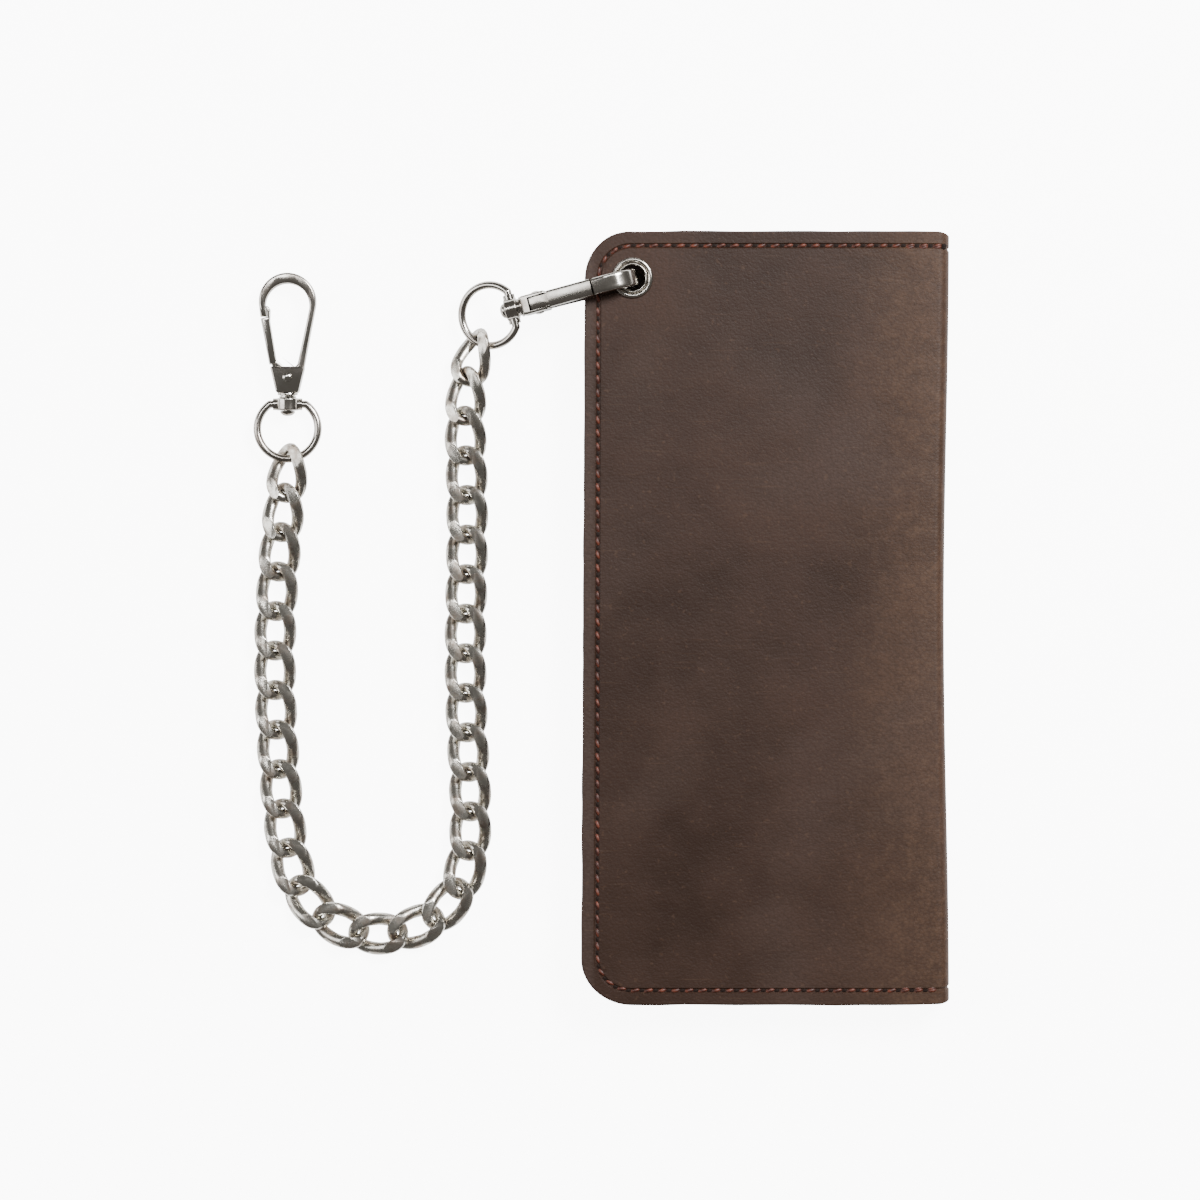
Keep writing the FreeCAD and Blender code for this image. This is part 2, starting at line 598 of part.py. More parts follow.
wallet_hook = wallet_hook_frame()
belt_hook = belt_hook_frame()
hook_axis = axis_of(wallet_hook, -1, 0, 0)
level_axis = Vector(hook_axis.x, hook_axis.y, 0).normalize()
fall = math.radians(WALLET_RING_FALL)
wallet_ring_direction = level_axis * math.cos(fall) + Vector(0, 0, -1) * math.sin(fall)
wallet_lug = axis_of(wallet_hook, 0, 0, 1)
wallet_collar = collar_frame(wallet_hook, wallet_lug, hook_axis)
wallet_ring = collar_frame(wallet_hook, wallet_lug, wallet_ring_direction)
belt_collar = collar_frame(belt_hook, Vector(1, 0, 0), Vector(0, -1, 0))
rise = math.radians(BELT_RING_RISE)
belt_ring = collar_frame(belt_hook, Vector(1, 0, 0), Vector(0, -math.cos(rise), math.sin(rise)))
wallet_ring_centre = wallet_ring.multVec(Vector(RING_OFFSET, 0, 0))
belt_ring_centre = belt_ring.multVec(Vector(RING_OFFSET, 0, 0))
chain_start = wallet_ring_centre + CHAIN_LEAVES_WALLET_RING * RING_TO_JOINT
chain_end = belt_ring_centre + CHAIN_LEAVES_BELT_RING * RING_TO_JOINT
joints = [Vector(p.x, p.y, z) for p, z in zip(chain_joints(chain_start, chain_end), heights_along_chain())]
links = link_frames(joints)


def make_hook(name, hook, collar, ring):
    own = {"hook_body": hook_body_shape(), "gate": gate_shape(), "gate_rivet": gate_rivet_shape(),
           "gate_spring": gate_spring_shape(), "swivel_post": swivel_post_shape()}
    parts = {"%s_%s" % (name, part): placed(shape, hook) for part, shape in own.items()}
    parts[name + "_swivel_collar"] = placed(collar_shape(), collar)
    parts[name + "_ring"] = placed(ring_shape(), ring)
    return parts


def make_chain():
    link = link_shape()
    return {"chain_link_%02d" % (n + 1): placed(link, place) for n, place in enumerate(links)}


def make_all():
    parts = make_wallet()
    parts.update(make_grommet())
    parts.update(make_hook("wallet", wallet_hook, wallet_collar, wallet_ring))
    parts.update(make_hook("belt", belt_hook, belt_collar, belt_ring))
    parts.update(make_chain())
    return parts


parts = make_all()
os.makedirs("parts", exist_ok=True)
for name, shape in parts.items():
    shape.exportStep("parts/%s.step" % name)
    print(name, len(shape.Solids), round(shape.Volume, 1), shape.isValid())
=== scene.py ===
import json
import math

import bmesh
import bpy
from mathutils import Matrix, Vector, noise


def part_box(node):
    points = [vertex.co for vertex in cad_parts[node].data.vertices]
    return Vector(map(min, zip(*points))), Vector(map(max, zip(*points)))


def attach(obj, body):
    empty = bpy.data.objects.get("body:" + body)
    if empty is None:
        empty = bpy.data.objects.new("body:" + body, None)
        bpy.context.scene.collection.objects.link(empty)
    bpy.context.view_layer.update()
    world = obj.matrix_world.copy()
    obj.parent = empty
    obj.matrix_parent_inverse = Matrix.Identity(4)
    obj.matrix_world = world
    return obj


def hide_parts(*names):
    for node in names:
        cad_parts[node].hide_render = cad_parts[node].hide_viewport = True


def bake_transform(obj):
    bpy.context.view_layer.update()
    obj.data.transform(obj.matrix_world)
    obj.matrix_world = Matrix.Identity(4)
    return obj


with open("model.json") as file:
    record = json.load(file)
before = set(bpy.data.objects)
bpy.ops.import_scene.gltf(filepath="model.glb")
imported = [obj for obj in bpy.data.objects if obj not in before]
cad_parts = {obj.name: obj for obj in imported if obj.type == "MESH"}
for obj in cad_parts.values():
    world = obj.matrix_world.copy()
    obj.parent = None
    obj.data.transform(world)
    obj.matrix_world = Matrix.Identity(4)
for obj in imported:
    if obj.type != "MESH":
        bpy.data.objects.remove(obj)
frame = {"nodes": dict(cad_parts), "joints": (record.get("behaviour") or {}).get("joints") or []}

bl_info = {
    "name": "Chain Wallet",
    "version": (1, 0, 0),
    "blender": (4, 5, 0),
    "location": "3D Viewport > Sidebar > Chain Wallet",
    "description": "A tall leather bifold wallet with a curb chain and two snap hooks",
    "category": "Object",
}

MM = 0.001
UP = Vector((0, 0, 1))
# How far a cutter reaches past the piece that it cuts.
CUT_MARGIN = 10 * MM


def linear(hex_colour):
    """An sRGB hex colour as linear red, green, blue and a full alpha."""
    channels = [int(hex_colour[n:n + 2], 16) / 255 for n in (0, 2, 4)]
    return tuple(c / 12.92 if c <= 0.04045 else ((c + 0.055) / 1.055) ** 2.4 for c in channels) + (1.0,)


def length_prop(name, description, millimetres):
    return bpy.props.FloatProperty(name=name, description=description, default=millimetres * MM,
                                   min=0.0, precision=5, subtype="DISTANCE", unit="LENGTH")


def colour_prop(name, description, hex_colour):
    return bpy.props.FloatVectorProperty(name=name, description=description, size=4, min=0.0, max=1.0,
                                         default=linear(hex_colour), subtype="COLOR")


class WalletSizes(bpy.types.PropertyGroup):
    """Sizes of the leather and its stitching."""
    leather: length_prop("Leather", "Thickness of the outer leather", 2.0)
    corner: length_prop("Corner", "Radius of the corners at the open edge", 12.0)
    fold: length_prop("Fold", "Outer radius where the leather turns down the spine", 3.0)
    rim: length_prop("Rim", "Rounding of the leather's cut edges", 0.5)
    unevenness: length_prop("Unevenness", "How far the cut edge wanders", 0.3)
    stitch_inset: length_prop("Stitch inset", "From the edge to the stitch line", 3.7)
    stitch_pitch: length_prop("Stitch pitch", "From one stitch to the next", 3.4)
    stitch_length: length_prop("Stitch length", "Length of thread that shows", 2.6)
    thread_width: length_prop("Thread width", "Width of a stitch", 1.0)
    groove_width: length_prop("Groove width", "Width that the stitches pull down", 1.4)
    groove_depth: length_prop("Groove depth", "How deep the stitches pull down", 0.3)


class HardwareSizes(bpy.types.PropertyGroup):
    """Sizes of the hooks, the grommet and the chain."""
    bow_radius: length_prop("Bow radius", "Outer radius of a hook's bow", 7.25)
    bow_tip: length_prop("Bow tip", "Thickness of the bow at its tip", 2.7)
    arm: length_prop("Arm", "Thickness of the bow's arms", 1.7)
    bow_width: length_prop("Bow width", "Width of the bow across its flat", 4.3)
    base_width: length_prop("Base width", "Width of the base across its flat", 5.0)
    hook_length: length_prop("Hook length", "From a hook's foot to the tip of its bow", 30.5)
    link_half_length: length_prop("Link half length", "Half the length of a link's centre line", 6.4)
    link_half_width: length_prop("Link half width", "Half the width of a link's centre line", 3.78)
    link_twist: length_prop("Link twist", "How far a link's sides are twisted up and down", 1.75)
    link_wire: length_prop("Link wire", "Radius of the link's wire", 1.3)
    link_half_height: length_prop("Link half height", "Half the height that the links are ground to", 2.25)
    grommet_outer: length_prop("Grommet", "Outer radius of the grommet's flange", 5.2)
    grommet_hole: length_prop("Grommet hole", "Radius of the grommet's hole", 3.2)


class WalletColours(bpy.types.PropertyGroup):
    """Colours of the leather, thread and metal."""
    leather_dark: colour_prop("Dark leather", "Oiled leather where it is darkest", "29180f")
    leather_middle: colour_prop("Leather", "Oiled leather over most of the cover", "38241a")
    # Paler leather where the oil has pulled away; towards the fold it is also painted light.
    leather_light_pull_up_and_lit: colour_prop("Light leather", "Leather where the oil has pulled away", "5c4433")
    # Haze colour: dull wax bloom in patches, and a painted sheen along the open edge.
    leather_haze_and_sheen: colour_prop("Leather haze", "Dull bloom of wax on the leather", "42342e")
    lining: colour_prop("Lining", "Thinner leather inside", "2c1d16")
    edge: colour_prop("Cut edge", "Dyed and burnished cut edge", "1c120e")
    thread: colour_prop("Thread", "Waxed rust thread", "7a3d2a")
    # Painted shade where the thread's strands turn under.
    thread_strand_shade: colour_prop("Thread shade", "Thread where its strands turn under", "3a1a12")
    nickel: colour_prop("Nickel", "Bright nickel plate", "c9c5be")
    nickel_shade: colour_prop("Nickel shade", "Nickel where it is handled and dull", "9c948c")
    chain: colour_prop("Chain nickel", "Aged nickel plate on the chain", "cfccc4")
    chain_tarnish: colour_prop("Chain tarnish", "Brown tarnish on the chain", "968b80")


def sizes():
    return bpy.context.scene.wallet_sizes


def hardware():
    return bpy.context.scene.wallet_hardware


def colours():
    return bpy.context.scene.wallet_colours


# Making meshes

def deselect_all():
    if bpy.context.mode != "OBJECT":
        bpy.ops.object.mode_set(mode="OBJECT")
    bpy.ops.object.select_all(action="DESELECT")


def only(piece):
    """Makes one piece the active and only selected one."""
    deselect_all()
    bpy.context.view_layer.objects.active = piece
    piece.select_set(True)


def named(name):
    """Gives the piece that was just added its name."""
    piece = bpy.context.object
    piece.name = piece.data.name = name
    return piece


def edit(piece):
    """Opens one piece in edit mode with nothing selected."""
    only(piece)
    bpy.ops.object.mode_set(mode="EDIT")
    bpy.ops.mesh.select_all(action="DESELECT")


def select_everything():
    """In edit mode, selects the whole mesh."""
    bpy.ops.mesh.select_all(action="SELECT")


def slice_at(point, normal, **settings):
    """In edit mode, cuts the whole mesh along a plane."""
    select_everything()
    bpy.ops.mesh.bisect(plane_co=point, plane_no=normal, **settings)


def pick(piece, kind, test):
    """In edit mode, selects only the verts, edges or faces that pass a test."""
    bpy.ops.mesh.select_all(action="DESELECT")
    bpy.ops.mesh.select_mode(type={"verts": "VERT", "edges": "EDGE", "faces": "FACE"}[kind])
    mesh = bmesh.from_edit_mesh(piece.data)
    for item in getattr(mesh, kind):
        if test(item):
            item.select_set(True)
    bmesh.update_edit_mesh(piece.data)


def middle(item):
    """The middle of an edge or a face."""
    total = sum((vertex.co for vertex in item.verts), Vector())
    return total / len(item.verts)


def close_edit(outward=True):
    if outward:
        select_everything()
        bpy.ops.mesh.normals_make_consistent(inside=False)
    bpy.ops.object.mode_set(mode="OBJECT")


def turn_faces_over(piece):
    edit(piece)
    select_everything()
    bpy.ops.mesh.flip_normals()
    bpy.ops.object.mode_set(mode="OBJECT")


def apply_modifier(piece, kind, **settings):
    """Adds a modifier with its settings and applies it."""
    only(piece)
    modifier = piece.modifiers.new(kind.title(), kind)
    for key, value in settings.items():
        setattr(modifier, key, value)
    bpy.ops.object.modifier_apply(modifier=modifier.name)


def combine(piece, other, operation):
    """Cuts another piece from this one or joins it on, and removes the other."""
    apply_modifier(piece, "BOOLEAN", operation=operation, object=other, solver="EXACT")
    bpy.data.objects.remove(other)


def bake_place(piece, place=None):
    """Moves a piece by a matrix and leaves its object at the origin, unturned and unscaled."""
    only(piece)
    if place is not None:
        piece.matrix_world = place @ piece.matrix_world
    bpy.ops.object.transform_apply(location=True, rotation=True, scale=True)


def smooth(piece, degrees=35):
    only(piece)
    bpy.ops.object.shade_smooth_by_angle(angle=math.radians(degrees))


def copied(piece, name, place):
    """A copy of a piece with its own mesh, moved by a matrix."""
    copy = piece.copy()
    copy.data = piece.data.copy()
    copy.name = copy.data.name = name
    bpy.context.collection.objects.link(copy)
    copy.matrix_world = place
    bake_place(copy)
    return copy


def join(pieces, name):
    deselect_all()
    for piece in pieces:
        piece.select_set(True)
    bpy.context.view_layer.objects.active = pieces[0]
    bpy.ops.object.join()
    return named(name)


def block(name, low, high):
    """A box between two corners, as the start of a slab or a cutter."""
    deselect_all()
    low, high = Vector(low), Vector(high)
    bpy.ops.mesh.primitive_cube_add(size=1, location=(low + high) / 2)
    piece = named(name)
    piece.scale = high - low
    bake_place(piece)
    return piece


def rod(name, radius, start, end, vertices=48):
    """A round bar between two points, as a cutter."""
    deselect_all()
    start, end = Vector(start), Vector(end)
    along = end - start
    bpy.ops.mesh.primitive_cylinder_add(vertices=vertices, radius=radius, depth=along.length,
                                        location=(start + end) / 2,
                                        rotation=UP.rotation_difference(along).to_euler())
    piece = named(name)
    bake_place(piece)
    return piece


def drill(piece, x, y, radius, low_z, high_z):
    """Cuts a round hole straight down through a piece, from a little over it to a little under."""
    cutter = rod("hole_cutter", radius, (x, y, low_z - CUT_MARGIN), (x, y, high_z + CUT_MARGIN), 64)
    combine(piece, cutter, "DIFFERENCE")


def plate(name, outline, half_depth, rounding, steps=3):
    """A flat plate: a filled circle set to an outline, extruded and rounded at its rims."""
    deselect_all()
    bpy.ops.mesh.primitive_circle_add(vertices=len(outline), radius=1, fill_type="NGON")
    piece = named(name)
    for vertex, (x, y) in zip(piece.data.vertices, outline):
        vertex.co = (x, y, -half_depth)
    edit(piece)
    select_everything()
    bpy.ops.mesh.extrude_region_move(TRANSFORM_OT_translate={"value": (0, 0, 2 * half_depth)})
    select_everything()
    bpy.ops.mesh.normals_make_consistent(inside=False)
    if rounding:
        pick(piece, "edges", lambda e: abs(e.verts[0].co.z - e.verts[1].co.z) < 1e-6)
        bpy.ops.mesh.bevel(offset=rounding, segments=steps, affect="EDGES")
    close_edit()
    return piece


def turned(name, profile, steps=64, hollow=True):
    """A turned shape about Z: a ring is added and extruded to each radius and height in turn.
    A hollow one comes back to its first ring. Its doubles are merged."""
    deselect_all()
    radius, height = profile[0]
    bpy.ops.mesh.primitive_circle_add(vertices=steps, radius=radius, location=(0, 0, height))
    piece = named(name)
    bake_place(piece)
    edit(piece)
    select_everything()
    for next_radius, next_height in list(profile[1:]) + [profile[0]] * hollow:
        bpy.ops.mesh.extrude_edges_move(TRANSFORM_OT_translate={"value": (0, 0, next_height - height)})
        ratio = next_radius / radius
        bpy.ops.transform.resize(value=(ratio, ratio, 1), center_override=(0, 0, next_height))
        radius, height = next_radius, next_height
    select_everything()
    bpy.ops.mesh.remove_doubles(threshold=0.002 * MM)
    close_edit()
    return piece


def arc(centre_x, centre_y, radius, start, end, steps):
    """Points on an arc, its angles in radians."""
    turns = [start + (end - start) * n / steps for n in range(steps + 1)]
    return [(centre_x + radius * math.cos(a), centre_y + radius * math.sin(a)) for a in turns]


# Materials

def add_node(tree, kind, inputs=None, **settings):
    """Adds a node, sets its fields, and gives each named input a value or a link."""
    made = tree.nodes.new("ShaderNode" + kind)
    for key, value in settings.items():
        setattr(made, key, value)
    for key, value in (inputs or {}).items():
        if isinstance(value, bpy.types.NodeSocket):
            tree.links.new(value, made.inputs[key])
        else:
            made.inputs[key].default_value = value
    return made


# The Mix node's colour sockets.
FACTOR, FIRST, SECOND, MIXED = 0, 6, 7, 2


def start_material(name):
    material = bpy.data.materials.new(name)
    material.use_nodes = True
    tree = material.node_tree
    tree.nodes.clear()
    place = add_node(tree, "TexCoord").outputs["Object"]
    return material, tree, place


def finish_material(material, tree, inputs):
    shader = add_node(tree, "BsdfPrincipled", inputs)
    add_node(tree, "OutputMaterial", {"Surface": shader.outputs["BSDF"]})
    return material


def cloudy(tree, place, size, detail=2.0, **inputs):
    """Noise whose clouds are about this many metres wide."""
    settings = {"Vector": place, "Scale": 1 / size, "Detail": detail, **inputs}
    return add_node(tree, "TexNoise", settings).outputs["Fac"]


def streaky(tree, place, turn, length, width):
    """Noise drawn out along one direction, its streaks this long and wide in metres."""
    stretch = add_node(tree, "Mapping", {"Vector": place, "Rotation": turn,
                                         "Scale": (1 / length, 1 / width, 1 / width)})
    return cloudy(tree, stretch.outputs["Vector"], 1.0)


def spread(tree, value, low, high, start=0.0, end=1.0, **settings):
    """Maps a value from one range to another."""
    made = add_node(tree, "MapRange", {"Value": value, "From Min": low, "From Max": high,
                                       "To Min": start, "To Max": end}, **settings)
    return made.outputs["Result"]


def mixed(tree, share, first, second):
    """Two colours mixed by a share of the second."""
    return add_node(tree, "Mix", {FACTOR: share, FIRST: first, SECOND: second},
                    data_type="RGBA").outputs[MIXED]


def combined(tree, first, second, operation):
    return add_node(tree, "Math", {0: first, 1: second}, operation=operation).outputs["Value"]


def bumped(tree, height, strength, distance, under=None, **settings):
    """Relief of a strength and a depth in metres, over the relief under it."""
    inputs = {"Height": height, "Strength": strength, "Distance": distance}
    if under is not None:
        inputs["Normal"] = under
    return add_node(tree, "Bump", inputs, **settings).outputs["Normal"]


def oiled_leather(name, dark, mid, light, haze, gloss):
    """Oiled pull-up cowhide, drum-dyed and waxed: brown, darker where oil lies and paler where
    bending pulls it away, paler still towards the fold from painted light, with a painted
    purple-grey sheen along the open edge, a fine pebble grain with painted shade in its creases,
    faint scratches and a soft waxy shine."""
    material, tree, place = start_material(name)
    clouds = cloudy(tree, place, 0.032, 5.0, Roughness=0.6)
    colour = mixed(tree, spread(tree, clouds, 0.35, 0.68), dark, mid)
    # Paler towards the fold: partly the oil pulling away, partly painted light from the key lamp on that
    # side.
    x = add_node(tree, "SeparateXYZ", {"Vector": place}).outputs["X"]
    toward_fold = spread(tree, x, 0.012, 0.046, 0.0, 0.6, interpolation_type="SMOOTHSTEP")
    pull = cloudy(tree, place, 0.02, 3.0)
    colour = mixed(tree, combined(tree, toward_fold, pull, "MULTIPLY"), colour, light)
    # Fine mottling where the fold has worked the leather.
    mottle = spread(tree, cloudy(tree, place, 0.0035, 4.0, Roughness=0.65), 0.45, 0.7, 0.0, 0.75)
    colour = mixed(tree, combined(tree, toward_fold, mottle, "MULTIPLY"), colour, light)
    # A painted purple-grey sheen along the open edge, outside the stitches.
    painted_sheen_at_edge = spread(tree, x, -0.0425, -0.0445, 0.0, 0.6, interpolation_type="SMOOTHSTEP")
    colour = mixed(tree, painted_sheen_at_edge, colour, haze)
    # Wax bloom in a few dull patches.
    bloom = cloudy(tree, place, 0.045, Distortion=0.4)
    colour = mixed(tree, spread(tree, bloom, 0.52, 0.78, 0.0, 0.55), colour, haze)
    # Pebbles of about 0.9 mm, with painted shade in the creases between them.
    pebbles = add_node(tree, "TexVoronoi", {"Vector": place, "Scale": 1 / 0.0009, "Randomness": 0.9})
    pebbles = pebbles.outputs["Distance"]
    colour = mixed(tree, spread(tree, pebbles, 0.35, 0.75, 0.0, 0.35), colour, dark)
    # Faint scratches about 0.6 mm wide and 15 mm long, and specks of about 1 mm.
    scratch = spread(tree, streaky(tree, place, (0.0, 0.0, 0.5), 0.015, 0.0006), 0.66, 0.74, 0.0, 0.15)
    speck = spread(tree, cloudy(tree, place, 0.0012, 1.0), 0.66, 0.76, 0.0, 0.2)
    colour = mixed(tree, combined(tree, scratch, speck, "MAXIMUM"), colour, light)
    waves = bumped(tree, clouds, 0.3, 0.001)
    hide = bumped(tree, pebbles, 0.22, 0.0001, waves, invert=True)
    grain = bumped(tree, cloudy(tree, place, 0.0005, 3.0), 0.5, 0.0001, hide)
    return finish_material(material, tree, {
        "Base Color": colour, "Roughness": spread(tree, clouds, 0.3, 0.7, gloss, gloss + 0.14),
        "IOR": 1.46, "Specular IOR Level": 0.33, "Normal": grain})


def burnished_edge(name, colour):
    """A cut leather edge, dyed and rubbed with wax: near black, closed, with fibres along it."""
    material, tree, place = start_material(name)
    fibres = cloudy(tree, place, 0.0008, 4.0)
    shade = spread(tree, fibres, 0.0, 1.0, 0.6, 1.6)
    tone = add_node(tree, "HueSaturation", {"Color": colour, "Value": shade})
    return finish_material(material, tree, {
        "Base Color": tone.outputs["Color"], "Roughness": 0.6, "IOR": 1.46, "Specular IOR Level": 0.15,
        "Normal": bumped(tree, fibres, 0.4, 0.0001)})


def waxed_thread(name, colour, shade):
    """Waxed braided polyester thread, about 1 mm thick: rust red, its strands lying aslant, with painted
    shade where they turn under.
    """
    material, tree, place = start_material(name)
    strands = add_node(tree, "TexWave", {"Vector": place, "Scale": 1 / 0.0045, "Distortion": 1.5,
                                         "Detail": 1.0}, bands_direction="DIAGONAL").outputs["Fac"]
    # The shade colour between the strands is painted shade.
    share = combined(tree, strands, cloudy(tree, place, 0.004, 3.0), "MULTIPLY")
    return finish_material(material, tree, {
        "Base Color": mixed(tree, share, shade, colour), "Roughness": 0.5, "IOR": 1.5,
        "Normal": bumped(tree, strands, 0.5, 0.0001)})


def plated_metal(name, bright, dull, roughness, patch, scratch_depth):
    """Cast or drawn metal, tumbled and nickel plated: a warm grey mirror, duller and browner in
    patches where it is handled, with fine tumbling scratches."""
    material, tree, place = start_material(name)
    patches = cloudy(tree, place, patch, 4.0, Roughness=0.6)
    tone = mixed(tree, spread(tree, patches, 0.42, 0.66), bright, dull)
    dents = bumped(tree, patches, 0.3, patch / 80)
    # Tumbling scratches, drawn about 0.15 mm apart so that they show.
    scratches = streaky(tree, place, (0.3, 0.5, 0.6), 0.0025, 0.00015)
    return finish_material(material, tree, {
        "Base Color": tone, "Metallic": 1.0,
        "Roughness": spread(tree, patches, 0.35, 0.7, roughness, roughness + 0.16),
        "Normal": bumped(tree, scratches, 0.4, scratch_depth, dents)})


# How bright the floor is to the camera, and in a mirror.
FLOOR_GLOW = 9.0
MIRRORED_GLOW = 1.1


def seamless_paper(name):
    """Matt white backdrop paper with its faint tooth, overexposed as seen but dimmer in a mirror."""
    material, tree, place = start_material(name)
    tooth = cloudy(tree, place, 0.002)
    path = add_node(tree, "LightPath")
    glow = add_node(tree, "Math", {0: path.outputs["Is Camera Ray"], 1: FLOOR_GLOW - MIRRORED_GLOW,
                                   2: MIRRORED_GLOW}, operation="MULTIPLY_ADD")
    return finish_material(material, tree, {
        "Base Color": linear("f6f6f6"), "Roughness": 0.9, "Emission Color": linear("ffffff"),
        "Emission Strength": glow.outputs["Value"], "Normal": bumped(tree, tooth, 0.1, 0.00005)})


def finishes():
    """Every finish by name, made once."""
    if "made" not in _finishes:
        c = colours()
        nickel, shade = c.nickel, c.nickel_shade
        # Metals: bright and dull colour, roughness, size of the dull patches, depth of the scratches.
        _finishes["made"] = {
            "oiled_leather": oiled_leather("oiled_pull_up_leather", c.leather_dark, c.leather_middle,
                                           c.leather_light_pull_up_and_lit, c.leather_haze_and_sheen, 0.42),
            "lining_leather": oiled_leather("smooth_lining_leather", c.edge, c.lining, c.leather_middle,
                                            c.leather_haze_and_sheen, 0.5),
            "burnished_edge": burnished_edge("burnished_leather_edge", c.edge),
            "thread": waxed_thread("waxed_rust_thread", c.thread, c.thread_strand_shade),
            "hook_nickel": plated_metal("cast_zinc_bright_nickel", nickel, shade, 0.1, 0.008, 0.000004),
            "grommet_nickel": plated_metal("pressed_brass_bright_nickel", nickel, shade, 0.12, 0.004,
                                           0.000004),
            "chain_nickel": plated_metal("aged_nickel_curb_chain", c.chain, c.chain_tarnish, 0.2, 0.003,
                                         0.00003),
            "spring_steel": plated_metal("rolled_spring_steel", shade, c.chain_tarnish, 0.28, 0.003,
                                         0.00001),
        }
    return _finishes["made"]


# The finishes, once they are made.
_finishes = {}


def finish(piece, *names):
    """Gives a piece its finishes, in the order of its material slots."""
    piece.data.materials.clear()
    for name in names:
        piece.data.materials.append(finishes()[name])


def refinish(node, name):
    """Gives a CAD node that stays a better material."""
    node_object = frame["nodes"][node]
    for slot in node_object.material_slots:
        slot.material = finishes()[name]
    if not node_object.material_slots:
        node_object.data.materials.append(finishes()[name])


# Where things lie, from the frame

def joint(name):
    return next(j for j in frame["joints"] if j["name"] == name)


def joint_place(name):
    return Vector(joint(name)["pos_m"])


def axes_matrix(along, across, up, origin):
    """A placement whose X, Y and Z axes are these."""
    turn = Matrix((along, across, up)).transposed().to_4x4()
    return Matrix.Translation(origin) @ turn


COLLAR_MIDDLE = 2.85 * MM


def hook_place(name):
    """A hook's placement: X from its foot to its tip, Y to the gate's side, Z across its flat."""
    along = Vector(joint(name + "_swivel")["axis"]) * (-1 if name == "wallet" else 1)
    up = -Vector(joint(name + "_gate_swing")["axis"])
    along.normalize()
    up.normalize()
    return axes_matrix(along, up.cross(along), up, joint_place(name + "_swivel") + along * COLLAR_MIDDLE)


BEND_LINKS = range(14, 21)
LINK_COUNT = 30
# How far the links nearest each end are rolled about their length, in degrees.
LINK_ROLLS = {1: 34, 2: 23, 3: 12, 4: 4, 28: -7, 29: -15, 30: -24}


def chain_joint(number):
    return joint_place("chain_%s_%02d" % ("bend" if number in BEND_LINKS else "swing", number))


def link_place(number):
    """A link's placement between its two joints."""
    start, end = chain_joint(number), chain_joint(number + 1)
    along = (end - start).normalized()
    up = (UP - along * along.dot(UP)).normalized()
    roll = Matrix.Rotation(math.radians(LINK_ROLLS.get(number, 0)), 4, "X")
    return axes_matrix(along, up.cross(along), up, (start + end) / 2) @ roll


# Leather

# How far in from a cut edge the leather wanders, and how long each wave of it is.
WANDER_REACH = 4 * MM
WANDER_LENGTH = 12 * MM


def wander(piece, amount, edge_x, edge_y, seed):
    """Lets the cut edges at the open side and both ends wander a little, as hand-cut leather does."""
    for vertex in piece.data.vertices:
        x, y, _ = vertex.co
        near_end = max(0.0, 1 - (edge_y - abs(y)) / WANDER_REACH)
        near_open = max(0.0, 1 - (x - edge_x) / WANDER_REACH)
        if near_end > 0:
            vertex.co.y += near_end * amount * noise.noise((x / WANDER_LENGTH, seed, y))
        if near_open > 0:
            vertex.co.x += near_open * amount * noise.noise((y / WANDER_LENGTH, seed + 7, x))


FOLD_DROOP_LENGTH = 5 * MM
FOLD_DROOP_DEPTH = 1.5 * MM
FOLD_WAIST = 1.3 * MM
OPEN_SIDE_SPREAD = 0.5 * MM


def droop(piece, fold_x, edge_y):
    """Rounds the leather's ends off where it turns down the fold, draws the fold in a little
    at its middle, and lets the open side spread a little to one end."""
    for vertex in piece.data.vertices:
        reach = (vertex.co.x - (fold_x - FOLD_DROOP_LENGTH)) / FOLD_DROOP_LENGTH
        if reach > 0:
            drop = FOLD_DROOP_DEPTH * (1 - math.sqrt(max(0.0, 1 - min(reach, 1.0) ** 2)))
            vertex.co.y -= math.copysign(drop * min(1.0, abs(vertex.co.y) / edge_y) ** 12, vertex.co.y)
        waist = max(0.0, vertex.co.x / fold_x) ** 2 * math.cos(vertex.co.y / edge_y * math.pi / 2) ** 2
        spread = max(0.0, -vertex.co.x / fold_x) ** 4 * -vertex.co.y / edge_y
        vertex.co.x -= FOLD_WAIST * waist + OPEN_SIDE_SPREAD * spread


# The hole under the grommet, and the thumb notch's circle and how far it lies past the edge.
LEATHER_HOLE_RADIUS = 3.72 * MM
THUMB_RADIUS = 9 * MM
THUMB_ABOVE = 4 * MM


